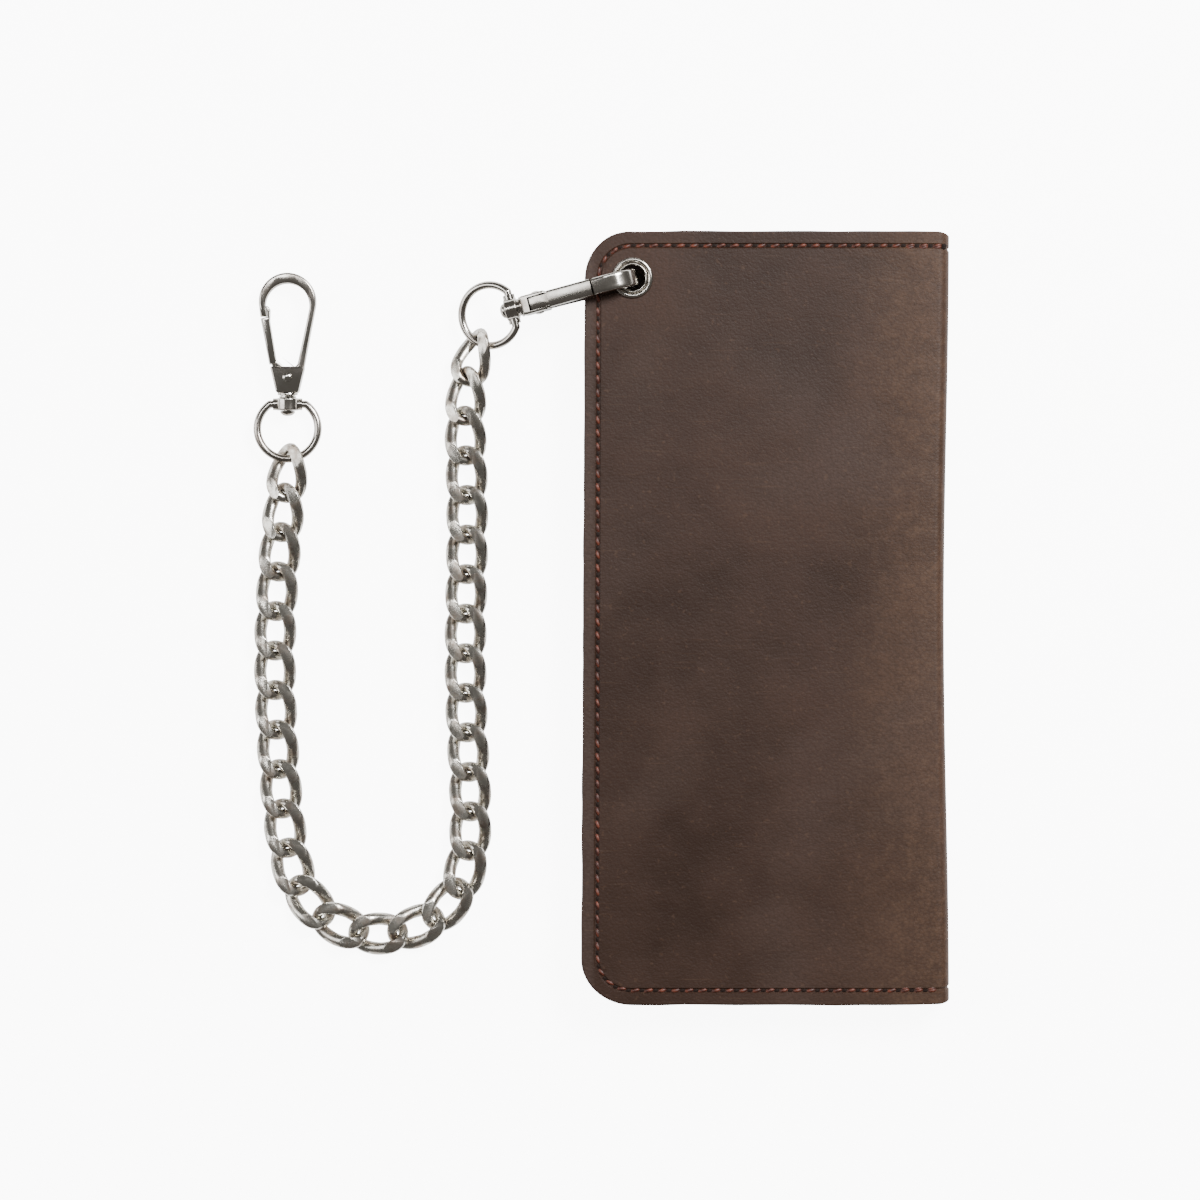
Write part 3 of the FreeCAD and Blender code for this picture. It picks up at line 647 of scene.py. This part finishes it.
def cover_sheet(name, node, spine_middle, hole):
    """One outer leather with half of the spine: a sheet inset for its stitch line, rounded at its
    open corners, spun down the fold, and thickened inwards."""
    s = sizes()
    low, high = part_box(node)
    face_up = high.z > spine_middle
    top = high.z if face_up else 2 * spine_middle - low.z
    turn_x = high.x - s.fold
    deselect_all()
    spare = 20 * MM
    bpy.ops.mesh.primitive_plane_add(size=1, location=((low.x + high.x + spare) / 2, 0, top))
    sheet = named(name)
    sheet.scale = (high.x - low.x + spare, high.y - low.y, 1)
    bake_place(sheet)
    edit(sheet)
    pick(sheet, "verts", lambda v: v.co.x < 0)
    bpy.ops.mesh.bevel(offset=s.corner, segments=14, affect="VERTICES")
    # Rings for the rounded edge and the stitch line's hollow.
    slope = s.groove_width / 4
    rings = [s.rim, s.stitch_inset - s.groove_width / 2 - s.rim, slope, s.groove_width / 2, slope, 1.2 * MM]
    for width in rings:
        pick(sheet, "faces", lambda f: len(f.verts) > 8)
        bpy.ops.mesh.inset(thickness=width, depth=0)
    # A net of bends, so that the sheet can follow the fold and the edge can wander.
    for count, start, normal in ((int((turn_x - low.x) / (6 * MM)), low.x, (1, 0, 0)),
                                 (int((high.y - low.y) / (4 * MM)), low.y, (0, 1, 0))):
        step = ((turn_x if normal[0] else high.y) - start) / count
        for n in range(1, count):
            slice_at(Vector(normal) * (start + n * step), normal)
    slice_at((turn_x, 0, 0), (1, 0, 0), clear_outer=True)
    # The hollow of the stitch line.
    sunk = s.stitch_inset - slope - 0.01 * MM, s.stitch_inset + slope + 0.01 * MM

    def edge_distance(point):
        dx, dy = point.x - low.x, high.y - abs(point.y)
        if dx < s.corner and dy < s.corner:
            return s.corner - math.hypot(s.corner - dx, s.corner - dy)
        return min(dx, dy)

    pick(sheet, "verts", lambda v: sunk[0] < edge_distance(v.co) < sunk[1])
    bpy.ops.transform.translate(value=(0, 0, -s.groove_depth))
    # The sheet is spun down the fold and drawn on to the middle of the spine.
    pick(sheet, "edges", lambda e: abs(middle(e).x - turn_x) < 1e-6)
    bpy.ops.mesh.spin(steps=10, angle=math.radians(-90), center=(turn_x, 0, top - s.fold), axis=(0, 1, 0))
    pick(sheet, "edges", lambda e: abs(middle(e).z - (top - s.fold)) < 1e-6 and e.is_boundary
         and abs(e.verts[0].co.z - e.verts[1].co.z) < 1e-6 and middle(e).x > turn_x + s.fold / 2)
    bpy.ops.mesh.extrude_edges_move(TRANSFORM_OT_translate={"value": (0, 0, spine_middle - top + s.fold)})
    select_everything()
    bpy.ops.mesh.remove_doubles(threshold=0.005 * MM)
    bpy.ops.mesh.normals_make_consistent(inside=False)
    bpy.ops.object.mode_set(mode="OBJECT")
    if sum(polygon.normal.z for polygon in sheet.data.polygons) < 0:
        turn_faces_over(sheet)
    finish(sheet, "oiled_leather", "lining_leather", "burnished_edge")
    apply_modifier(sheet, "SOLIDIFY", thickness=s.leather, offset=-1, material_offset=1,
                   material_offset_rim=2)
    edit(sheet)
    pick(sheet, "edges", lambda e: abs(middle(e).z - top) < 1e-5 and edge_distance(middle(e)) < 0.02 * MM)
    bpy.ops.mesh.bevel(offset=s.rim * 0.9, segments=3, affect="EDGES", material=0)
    close_edit(outward=False)
    wander(sheet, s.unevenness, low.x, high.y, 3 if face_up else 11)
    droop(sheet, high.x, high.y)
    if hole:
        drill(sheet, *hole, top, top)
    if not face_up:
        bake_place(sheet, Matrix.Translation((0, 0, 2 * spine_middle)) @ Matrix.Diagonal((1, 1, -1, 1)))
        turn_faces_over(sheet)
    smooth(sheet)
    return sheet


def lining_panel(name, node, body, corner, hole=None, notch=False):
    """An inner leather panel: a slab with round corners, a creased line and rounded rims."""
    low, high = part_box(node)
    panel = block(name, low, high)
    edit(panel)
    if corner:
        pick(panel, "edges", lambda e: abs(e.verts[0].co.z - e.verts[1].co.z) > 1e-5 and middle(e).x < 0)
        bpy.ops.mesh.bevel(offset=corner, segments=10, affect="EDGES")
    crease = 2.0 * MM
    for face_z in (low.z, high.z):
        for width, sink in ((crease, 0), (0.25 * MM, 0.12 * MM), (0.25 * MM, -0.12 * MM)):
            pick(panel, "faces", lambda f: len(f.verts) >= 4 and abs(f.normal.z) > 0.9
                 and abs(middle(f).z - face_z) < 0.2 * MM and f.calc_area() > 0.001)
            bpy.ops.mesh.inset(thickness=width, depth=-sink)
    pick(panel, "edges", lambda e: min(abs(v.co.z - z) for v in e.verts for z in (low.z, high.z)) < 1e-6
         and abs(e.verts[0].co.z - e.verts[1].co.z) < 1e-6 and e.calc_face_angle(0) > 1.2)
    bpy.ops.mesh.bevel(offset=0.25 * MM, segments=2, affect="EDGES")
    close_edit()
    if hole:
        drill(panel, *hole, low.z, high.z)
    if notch:
        drill(panel, (low.x + high.x) / 2, high.y + THUMB_ABOVE, THUMB_RADIUS, low.z, high.z)
    smooth(panel)
    finish(panel, "lining_leather")
    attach(panel, body)
    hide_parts(node)
    return panel


def grommet_middle():
    low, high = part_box("grommet_face")
    return (low.x + high.x) / 2, (low.y + high.y) / 2


class CHAINWALLET_OT_covers(bpy.types.Operator):
    """Outer leathers, each turned down half of the spine"""
    bl_idname = "chainwallet.covers"
    bl_label = "Covers"

    def execute(self, context):
        low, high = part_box("outer_cover_front")
        base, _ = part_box("outer_cover_back")
        spine_middle = (base.z + high.z) / 2
        x, y = grommet_middle()
        front = cover_sheet("cover_front_leather", "outer_cover_front", spine_middle,
                            (x, y, LEATHER_HOLE_RADIUS))
        back = cover_sheet("cover_back_leather", "outer_cover_back", spine_middle, None)
        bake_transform(front)
        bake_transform(back)
        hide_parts("outer_cover_front", "outer_cover_spine")
        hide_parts("outer_cover_back")
        return {"FINISHED"}


class CHAINWALLET_OT_pockets(bpy.types.Operator):
    """Lining panels, coin pocket and card slots"""
    bl_idname = "chainwallet.pockets"
    bl_label = "Pockets"

    def execute(self, context):
        s = sizes()
        x, y = grommet_middle()
        inset_corner = s.corner - MM
        lining_panel("front_lining", "front_pocket_panel", "front_cover", inset_corner,
                     (x, y, LEATHER_HOLE_RADIUS))
        lining_panel("back_lining", "back_pocket_panel", "back_cover", inset_corner)
        lining_panel("coin_pocket", "coin_pocket_panel", "back_cover", 0, notch=True)
        for number in range(1, 5):
            lining_panel("card_pocket_%d" % number, "card_slot_%d" % number, "front_cover", 0, notch=True)
        return {"FINISHED"}


# Stitching

def stitch_line(inset, end_x):
    """Places a stitch apart, with headings, from the fold along one end, the open edge and back."""
    s = sizes()
    low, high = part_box("outer_cover_front")
    radius = s.corner - inset
    left, edge = low.x + inset, high.y - inset
    corner_x, corner_y = left + radius, edge - radius
    runs = [((end_x, edge), (corner_x, edge)), ((left, corner_y), (left, -corner_y)),
            ((corner_x, -edge), (end_x, -edge))]
    line = [runs[0][0]]
    line += arc(corner_x, corner_y, radius, math.radians(90), math.radians(180), 24)
    line += arc(corner_x, -corner_y, radius, math.radians(180), math.radians(270), 24)
    line.append(runs[2][1])
    places, walked, due = [], 0.0, 0.0
    for (x0, y0), (x1, y1) in zip(line, line[1:]):
        length = math.hypot(x1 - x0, y1 - y0)
        while due <= walked + length:
            part = (due - walked) / length
            places.append((x0 + (x1 - x0) * part, y0 + (y1 - y0) * part, math.atan2(y1 - y0, x1 - x0)))
            due += s.stitch_pitch
        walked += length
    return places


STITCH_SLANT = math.radians(16)


def one_stitch():
    """A thread between two holes: a low ball drawn out long, its ends pulled down and thinned."""
    s = sizes()
    deselect_all()
    bpy.ops.mesh.primitive_uv_sphere_add(segments=8, ring_count=8, radius=0.5,
                                         rotation=(0, math.radians(90), 0))
    stitch = named("stitch")
    bake_place(stitch)
    for vertex in stitch.data.vertices:
        x = vertex.co.x * 2
        swell = 1
        if abs(x) < 0.999:
            swell = (1 - abs(x) ** 3.0) ** 0.5 / max(0.05, math.sqrt(max(0.0, 1 - x * x)))
        vertex.co.x *= s.stitch_length
        vertex.co.y *= s.thread_width * swell
        vertex.co.z = vertex.co.z * s.thread_width * 0.8 * swell - 0.28 * MM * x * x
    smooth(stitch, 80)
    return stitch


def sewn_rows(name, rows, up):
    """Copies the stitch to every place of some rows, with a dark awl hole between each two: a squashed
    near-black ball that paints the shade inside the hole.
    """
    stitch = one_stitch()
    deselect_all()
    # Each awl hole is a squashed near-black ball: painted shade for the dark inside of the hole.
    bpy.ops.mesh.primitive_ico_sphere_add(subdivisions=1, radius=0.5)
    hole = named("awl_hole")
    bake_place(hole, Matrix.Diagonal((1.5 * MM, 1.15 * MM, 0.34 * MM, 1)))
    finish(stitch, "thread")
    finish(hole, "burnished_edge")
    made = []
    flip = Matrix.Identity(4) if up else Matrix.Rotation(math.pi, 4, "X")
    for places, height in rows:
        for (x0, y0, _), (x1, y1, _) in zip(places, places[1:]):
            heading = math.atan2(y1 - y0, x1 - x0)
            wobble = math.radians(4) * noise.noise((x0 / 0.003, y0 / 0.003, 0.5))
            turn = Matrix.Rotation(heading + STITCH_SLANT + wobble, 4, "Z") @ flip
            middle_place = Matrix.Translation(((x0 + x1) / 2, (y0 + y1) / 2, height))
            made.append(copied(stitch, "stitch", middle_place @ turn))
            made.append(copied(hole, "hole", Matrix.Translation((x0, y0, height)) @ turn))
    bpy.data.objects.remove(stitch)
    bpy.data.objects.remove(hole)
    return join(made, name)


def backstitches(places, width):
    """A second row over the first few stitches at each end of a line."""
    shifted = [(x, y + math.copysign(width, -y), a) for x, y, a in places]
    return shifted[:4], shifted[-4:]


class CHAINWALLET_OT_stitching(bpy.types.Operator):
    """Rust thread in its stitch lines on both covers and down the card slots"""
    bl_idname = "chainwallet.stitching"
    bl_label = "Stitching"

    def execute(self, context):
        s = sizes()
        _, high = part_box("outer_cover_front")
        low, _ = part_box("outer_cover_back")
        line = stitch_line(s.stitch_inset, high.x - 1.5 * MM)
        second = backstitches(line, 0.5 * MM)
        depth = s.groove_depth
        for name, node, body, height, up in (
                ("front_thread", "front_stitching", "front_cover", high.z - depth, True),
                ("back_thread", "back_stitching", "back_cover", low.z + depth, False)):
            rows = [(line, height)] + [(row, height) for row in second]
            thread = sewn_rows(name, rows, up)
            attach(thread, body)
            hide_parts(node)
        rows = []
        for number in range(1, 5):
            pocket_low, pocket_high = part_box("card_slot_%d" % number)
            for x in (pocket_low.x + 2.5 * MM, pocket_high.x - 2.5 * MM):
                count = 6
                start = pocket_high.y - 22 * MM + 2.5 * MM
                places = [(x, start + n * s.stitch_pitch, 0) for n in range(count)]
                rows.append((places, pocket_low.z))
        thread = sewn_rows("card_pocket_thread", rows, False)
        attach(thread, "front_cover")
        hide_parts("card_slot_stitching")
        return {"FINISHED"}


# Hardware

def cap_profile(outer, inner, top, bottom):
    """The grommet's section: a rolled outer lip, a hollow, an inner lip, and the barrel."""
    lip = 0.65 * MM
    outside = [(outer - lip + lip * math.cos(a), top + 0.12 * MM + lip * math.sin(a))
               for a in (math.radians(d) for d in range(-20, 161, 20))]
    hollow = [(outer - 1.28 * MM, top + 0.22 * MM), (outer - 1.33 * MM, top + 0.14 * MM)]
    inside = [(inner + 0.3 * MM + 0.3 * MM * math.cos(a), top + 0.3 * MM + 0.3 * MM * math.sin(a))
              for a in (math.radians(d) for d in range(0, 181, 30))]
    barrel = [(inner + 0.02 * MM, bottom + 0.2 * MM), (inner + 0.1 * MM, bottom),
              (inner + 0.4 * MM, bottom),
              (inner + 0.48 * MM, top - 0.05 * MM), (outer - 0.3 * MM, top - 0.02 * MM)]
    return outside + hollow + inside + barrel


class CHAINWALLET_OT_grommet(bpy.types.Operator):
    """Grommet pressed through the front leather"""
    bl_idname = "chainwallet.grommet"
    bl_label = "Grommet"

    def execute(self, context):
        h = hardware()
        x, y = grommet_middle()
        _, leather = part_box("outer_cover_front")
        barrel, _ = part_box("grommet_face")
        grommet = turned("grommet", cap_profile(h.grommet_outer, h.grommet_hole, leather.z, barrel.z), 80)
        bake_place(grommet, Matrix.Translation((x, y, 0)))
        smooth(grommet, 50)
        finish(grommet, "grommet_nickel")
        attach(grommet, "front_cover")
        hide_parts("grommet_face")
        refinish("grommet_washer", "grommet_nickel")
        return {"FINISHED"}


NOSE_END = 19.4 * MM
ARM_ROOT = 5.7 * MM
ARM_ROOT_HALF = 4.1 * MM
BASE_LENGTH = 6.7 * MM
BASE_FOOT_HALF = 2.85 * MM
BASE_HEAD_HALF = 4.4 * MM
PIVOT_ALONG = 3.95 * MM


def tangent_angle(centre_x, radius, x, y):
    """The angle on a circle where a line from a point touches its upper side."""
    distance = math.hypot(centre_x - x, y)
    return math.pi - math.atan2(y, centre_x - x) - math.acos(radius / distance)


def bow_outline():
    """The bow's outline: both arms, the round end that is thicker at its tip, and the nose."""
    h = hardware()
    outer_x = h.hook_length - h.bow_radius
    inner_radius = h.bow_radius - h.arm
    inner_x = h.hook_length - h.bow_tip - inner_radius
    root = ARM_ROOT_HALF - h.arm
    outer_angle = tangent_angle(outer_x, h.bow_radius, ARM_ROOT, ARM_ROOT_HALF)
    inner_angle = tangent_angle(inner_x, inner_radius, ARM_ROOT, root)
    outer = arc(outer_x, 0, h.bow_radius, -outer_angle, outer_angle, 40)
    inner = arc(inner_x, 0, inner_radius, inner_angle, -inner_angle, 40)

    def on_line(x, y0, end):
        return x, y0 + (x - ARM_ROOT) * (end[1] - y0) / (end[0] - ARM_ROOT)

    nose_out, nose_in = on_line(NOSE_END, ARM_ROOT_HALF, outer[-1]), on_line(NOSE_END, root, inner[0])
    foot_out = (ARM_ROOT, -ARM_ROOT_HALF)
    fillet = arc(BASE_LENGTH + 1.2 * MM, -root - 0.28 * MM + 1.2 * MM, 1.2 * MM, math.radians(262),
                 math.radians(180), 6)
    return [foot_out] + outer + [nose_out, nose_in] + inner + fillet + [(ARM_ROOT, 0)]


def base_outline():
    """The base's wedge, its four corners rounded."""
    corners = [(0, -BASE_FOOT_HALF), (BASE_LENGTH, -BASE_HEAD_HALF), (BASE_LENGTH, BASE_HEAD_HALF),
               (0, BASE_FOOT_HALF)]
    points = []
    for n, corner in enumerate(corners):
        here, before, after = Vector(corner), Vector(corners[n - 1]), Vector(corners[(n + 1) % 4])
        start = here + (before - here).normalized() * 0.6 * MM
        end = here + (after - here).normalized() * 0.6 * MM
        for t in (0, 0.25, 0.5, 0.75, 1):
            point = start * (1 - t) ** 2 + here * 2 * t * (1 - t) + end * t * t
            points.append((point.x, point.y))
    return points


def hook_body(name):
    h = hardware()
    bow = plate(name, bow_outline(), h.bow_width / 2, 0.55 * MM, 4)
    base = plate("base", base_outline(), h.base_width / 2, 0.45 * MM, 3)
    combine(bow, base, "UNION")
    slot = block("slot_cutter", (PIVOT_ALONG - 2.0 * MM, -2.6 * MM, -1.75 * MM),
                 (BASE_LENGTH + MM, BASE_HEAD_HALF + MM, 1.75 * MM))
    combine(bow, slot, "DIFFERENCE")
    crown(bow, h.bow_width / 2, BASE_LENGTH + MM, h.hook_length - h.bow_radius)
    smooth(bow)
    return bow


CROWN = 0.3 * MM


def crown(piece, half, first_x, last_x):
    """Lets a strip's outer face swell across its width, between two places along it."""
    edit(piece)
    for n in range(-3, 4):
        slice_at((0, 0, n * half / 4), (0, 0, 1))
    bpy.ops.object.mode_set(mode="OBJECT")
    for vertex in piece.data.vertices:
        x, y, z = vertex.co
        share = min(1.0, max(0.0, (x - first_x) / (2 * MM))) * min(1.0, max(0.0, (last_x - x) / (4 * MM)))
        vertex.co.y += math.copysign(CROWN * share * (1 - (z / half) ** 2), y) * (abs(y) > 1e-6)


def arm_line(x, side):
    """How far the arm's outer (0) or inner (1) face is from the hook's middle line at x."""
    h = hardware()
    if side == 0:
        return ARM_ROOT_HALF + (x - ARM_ROOT) * 0.187
    return ARM_ROOT_HALF - h.arm + (x - ARM_ROOT) * 0.197


def gate(name):
    """The gate: a strip as wide as the bow, slanted at its end, with a tongue behind the nose and a
    neck that goes into the base."""
    h = hardware()
    start, end, tip, thick = BASE_LENGTH + 0.6 * MM, NOSE_END - 0.15 * MM, NOSE_END + 2.6 * MM, 1.75 * MM
    outline = [(start, arm_line(start, 0) - thick), (end - MM, arm_line(end - MM, 0) - thick - 0.25 * MM),
               (tip - 0.8 * MM, arm_line(tip, 1) - 1.25 * MM), (tip, arm_line(tip, 1) - 0.7 * MM),
               (tip, arm_line(tip, 1) - 0.15 * MM), (end, arm_line(end, 1) - 0.15 * MM),
               (end - 0.08 * MM, arm_line(end, 0) - 1.3 * MM),
               (end - 0.35 * MM, arm_line(end - 0.35 * MM, 0)),
               (start, arm_line(start, 0))]
    blade = plate(name, outline, h.bow_width / 2, 0.3 * MM, 3)
    crown(blade, h.bow_width / 2, start - 3 * MM, end + 5 * MM)
    neck_end = start + 1.2 * MM
    neck = plate("neck", [(2.4 * MM, 0.8 * MM), (PIVOT_ALONG - 0.6 * MM, -1.2 * MM),
                          (PIVOT_ALONG + 0.8 * MM, -1.2 * MM), (neck_end, arm_line(start, 0) - 1.5 * MM),
                          (neck_end, arm_line(start, 0) - 0.15 * MM), (2.4 * MM, 3.1 * MM)],
                 1.6 * MM, 0.15 * MM, 2)
    combine(blade, neck, "UNION")
    smooth(blade)
    return blade


def swivel_post(name):
    """The pin riveted into the foot: a shouldered neck, the shank through the collar, a domed head."""
    tip = 0.001
    profile = [(tip, -1.9), (0.95, -1.9), (0.95, 0)]
    profile += [(2.5, 0), (2.55, 0.08), (2.55, 0.45), (2.45, 0.55), (1.9, 0.6), (1.9, 0.78)]
    profile += [(2.2, 0.82), (2.2, 1.12), (2.1, 1.2), (0.95, 1.2), (0.95, 4.55)]
    profile += [(1.75, 4.55), (1.9, 4.65), (1.86, 4.95), (1.6, 5.3), (1.15, 5.62), (0.6, 5.8), (tip, 5.85)]
    post = turned(name, [(radius * MM, height * MM) for radius, height in profile], 48, hollow=False)
    bake_place(post, Matrix.Rotation(math.radians(-90), 4, "Y"))
    smooth(post, 40)
    return post


def gate_pin(name):
    """The rivet that the gate turns on, a domed head at each face of the base."""
    face = hardware().base_width / 2
    dome = [(0.7 * MM, face - 0.1 * MM), (1.2 * MM, face - 0.1 * MM)]
    dome += [(1.2 * MM * math.cos(a), face + 0.5 * MM * math.sin(a))
             for a in (math.radians(d) for d in (12, 25, 38, 51, 64, 77, 89.95))]
    pin = turned(name, [(radius, -height) for radius, height in reversed(dome)] + dome, 32, hollow=False)
    bake_place(pin, Matrix.Translation((PIVOT_ALONG, 0, 0)))
    smooth(pin, 60)
    return pin


class CHAINWALLET_OT_hooks(bpy.types.Operator):
    """Cast snap hooks, with their gates, rivets, springs and swivels"""
    bl_idname = "chainwallet.hooks"
    bl_label = "Snap hooks"

    def execute(self, context):
        for name in ("wallet", "belt"):
            for piece, body, node in ((hook_body(name + "_hook_casting"), "hook", "hook_body"),
                                      (gate(name + "_sprung_gate"), "gate", "gate"),
                                      (gate_pin(name + "_gate_pin"), "hook", "gate_rivet"),
                                      (swivel_post(name + "_swivel_pin"), "hook", "swivel_post")):
                bake_place(piece, hook_place(name))
                finish(piece, "hook_nickel")
                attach(piece, "%s_%s" % (name, body))
                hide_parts("%s_%s" % (name, node))
            for part in ("swivel_collar", "ring"):
                refinish("%s_%s" % (name, part), "hook_nickel")
            refinish(name + "_gate_spring", "spring_steel")
        return {"FINISHED"}


# A link's sides are pressed this much wider than its round ends.
SIDE_SWELL = 0.27


def widen_sides(link, h):
    """In edit mode, presses the wire wider across the link, most of all along its two sides."""
    mesh = bmesh.from_edit_mesh(link.data)
    for vertex in mesh.verts:
        a = math.atan2(vertex.co.y / h.link_half_width, vertex.co.x / h.link_half_length)
        line = Vector((h.link_half_length * math.cos(a), h.link_half_width * math.sin(a)))
        swell = 1 + SIDE_SWELL * (1 - math.cos(a) ** 4)
        vertex.co.xy = line + (vertex.co.xy - line) * swell
    bmesh.update_edit_mesh(link.data)


def curb_link():
    """A link: a round wire bent to a twisted oval, with its high and low sides ground flat."""
    h = hardware()
    deselect_all()
    bpy.ops.curve.primitive_bezier_circle_add(radius=1)
    link = named("link")
    bpy.ops.object.mode_set(mode="EDIT")
    bpy.ops.curve.select_all(action="SELECT")
    bpy.ops.curve.subdivide()
    bpy.ops.object.mode_set(mode="OBJECT")
    points = link.data.splines[0].bezier_points
    third = 2 * math.pi / len(points) / 3
    for n, point in enumerate(points):
        a = 2 * math.pi * n / len(points)
        place = Vector((h.link_half_length * math.cos(a), h.link_half_width * math.sin(a),
                        -h.link_twist * math.sin(2 * a)))
        pull = Vector((-h.link_half_length * math.sin(a), h.link_half_width * math.cos(a),
                       -2 * h.link_twist * math.cos(2 * a))) * third
        point.handle_left_type = point.handle_right_type = "FREE"
        point.co, point.handle_left, point.handle_right = place, place - pull, place + pull
    link.data.resolution_u = 10
    link.data.bevel_depth = h.link_wire
    link.data.bevel_resolution = 4
    bpy.ops.object.convert(target="MESH")
    link = named("link")
    edit(link)
    select_everything()
    bpy.ops.mesh.remove_doubles(threshold=0.005 * MM)
    widen_sides(link, h)
    for side in (1, -1):
        slice_at((0, 0, side * h.link_half_height), (0, 0, side), use_fill=True, clear_outer=True)
    facet = h.link_half_height - 1e-6
    pick(link, "edges", lambda e: all(abs(v.co.z) > facet for v in e.verts) and e.calc_face_angle(0) > 0.1)
    bpy.ops.mesh.bevel(offset=0.12 * MM, segments=2, affect="EDGES")
    close_edit()
    smooth(link, 32)
    finish(link, "chain_nickel")
    return link


class CHAINWALLET_OT_chain(bpy.types.Operator):
    """Curb chain of thirty links"""
    bl_idname = "chainwallet.chain"
    bl_label = "Chain"

    def execute(self, context):
        pattern = curb_link()
        for number in range(1, LINK_COUNT + 1):
            link = copied(pattern, "curb_link_%02d" % number, link_place(number))
            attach(link, "link_%02d" % number)
            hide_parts("chain_link_%02d" % number)
        bpy.data.objects.remove(pattern)
        return {"FINISHED"}


# Stage

def area_light(name, place, size, watts, aim, colour="ffffff"):
    light = bpy.data.lights.new(name, "AREA")
    light.shape = "RECTANGLE"
    light.size, light.size_y = size
    light.energy = watts
    light.color = linear(colour)[:3]
    lamp = bpy.data.objects.new(name, light)
    bpy.context.collection.objects.link(lamp)
    lamp.location = place
    lamp.rotation_euler = (Vector(aim) - Vector(place)).to_track_quat("-Z", "Y").to_euler()
    return lamp


VIEW_MIDDLE = Vector((-0.0419, 0.00456, 0.0))
VIEW_WIDTH = 0.3038
CAMERA_HEIGHT = 1.3


class CHAINWALLET_OT_stage(bpy.types.Operator):
    """Pale floor, soft lights and the camera straight above"""
    bl_idname = "chainwallet.stage"
    bl_label = "Stage"

    def execute(self, context):
        deselect_all()
        bpy.ops.mesh.primitive_plane_add(size=8.0, location=(0, 0, 0))
        floor = named("floor")
        floor.data.materials.append(seamless_paper("seamless_paper"))
        area_light("key_softbox", (0.55, 0.6, 1.0), (0.45, 0.45), 26, (-0.04, 0, 0))
        area_light("fill_softbox", (-1.0, 0.15, 0.6), (0.5, 0.9), 6, (-0.04, 0, 0))
        area_light("top_strip", (-0.15, 0.5, 1.3), (0.9, 0.12), 5, (-0.04, 0, 0))
        world = bpy.data.worlds.new("studio_air")
        world.use_nodes = True
        world.node_tree.nodes["Background"].inputs["Color"].default_value = linear("a5a19c")
        world.node_tree.nodes["Background"].inputs["Strength"].default_value = 0.34
        context.scene.world = world
        camera_data = bpy.data.cameras.new("camera")
        camera = bpy.data.objects.new("camera", camera_data)
        context.collection.objects.link(camera)
        camera.location = VIEW_MIDDLE + UP * CAMERA_HEIGHT
        camera_data.sensor_width = 36
        camera_data.lens = camera_data.sensor_width * (CAMERA_HEIGHT - 0.007) / VIEW_WIDTH
        camera_data.clip_end = 20
        context.scene.camera = camera
        return {"FINISHED"}


class CHAINWALLET_PT_panel(bpy.types.Panel):
    """Lists the wallet's pieces and sizes"""
    bl_label = "Chain Wallet"
    bl_idname = "CHAINWALLET_PT_panel"
    bl_space_type = "VIEW_3D"
    bl_region_type = "UI"
    bl_category = "Chain Wallet"

    def draw(self, context):
        for operator in OPERATORS:
            self.layout.operator(operator.bl_idname)
        for group in (sizes(), hardware(), colours()):
            box = self.layout.box()
            for prop in group.__annotations__:
                box.prop(group, prop)


OPERATORS = (CHAINWALLET_OT_covers, CHAINWALLET_OT_pockets, CHAINWALLET_OT_stitching,
             CHAINWALLET_OT_grommet,
             CHAINWALLET_OT_hooks, CHAINWALLET_OT_chain, CHAINWALLET_OT_stage)
GROUPS = {"wallet_sizes": WalletSizes, "wallet_hardware": HardwareSizes, "wallet_colours": WalletColours}
CLASSES = tuple(GROUPS.values()) + OPERATORS + (CHAINWALLET_PT_panel,)


def register():
    for cls in CLASSES:
        bpy.utils.register_class(cls)
    for name, group in GROUPS.items():
        setattr(bpy.types.Scene, name, bpy.props.PointerProperty(type=group))


def unregister():
    for name in GROUPS:
        delattr(bpy.types.Scene, name)
    for cls in reversed(CLASSES):
        bpy.utils.unregister_class(cls)


def corners(bounds):
    return [[float(value) for value in corner] for corner in bounds]


def main():
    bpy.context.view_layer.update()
    register()
    bpy.ops.chainwallet.covers()
    bpy.ops.chainwallet.pockets()
    bpy.ops.chainwallet.stitching()
    bpy.ops.chainwallet.grommet()
    bpy.ops.chainwallet.hooks()
    bpy.ops.chainwallet.chain()
    bpy.ops.chainwallet.stage()


if __name__ == "__main__":
    main()
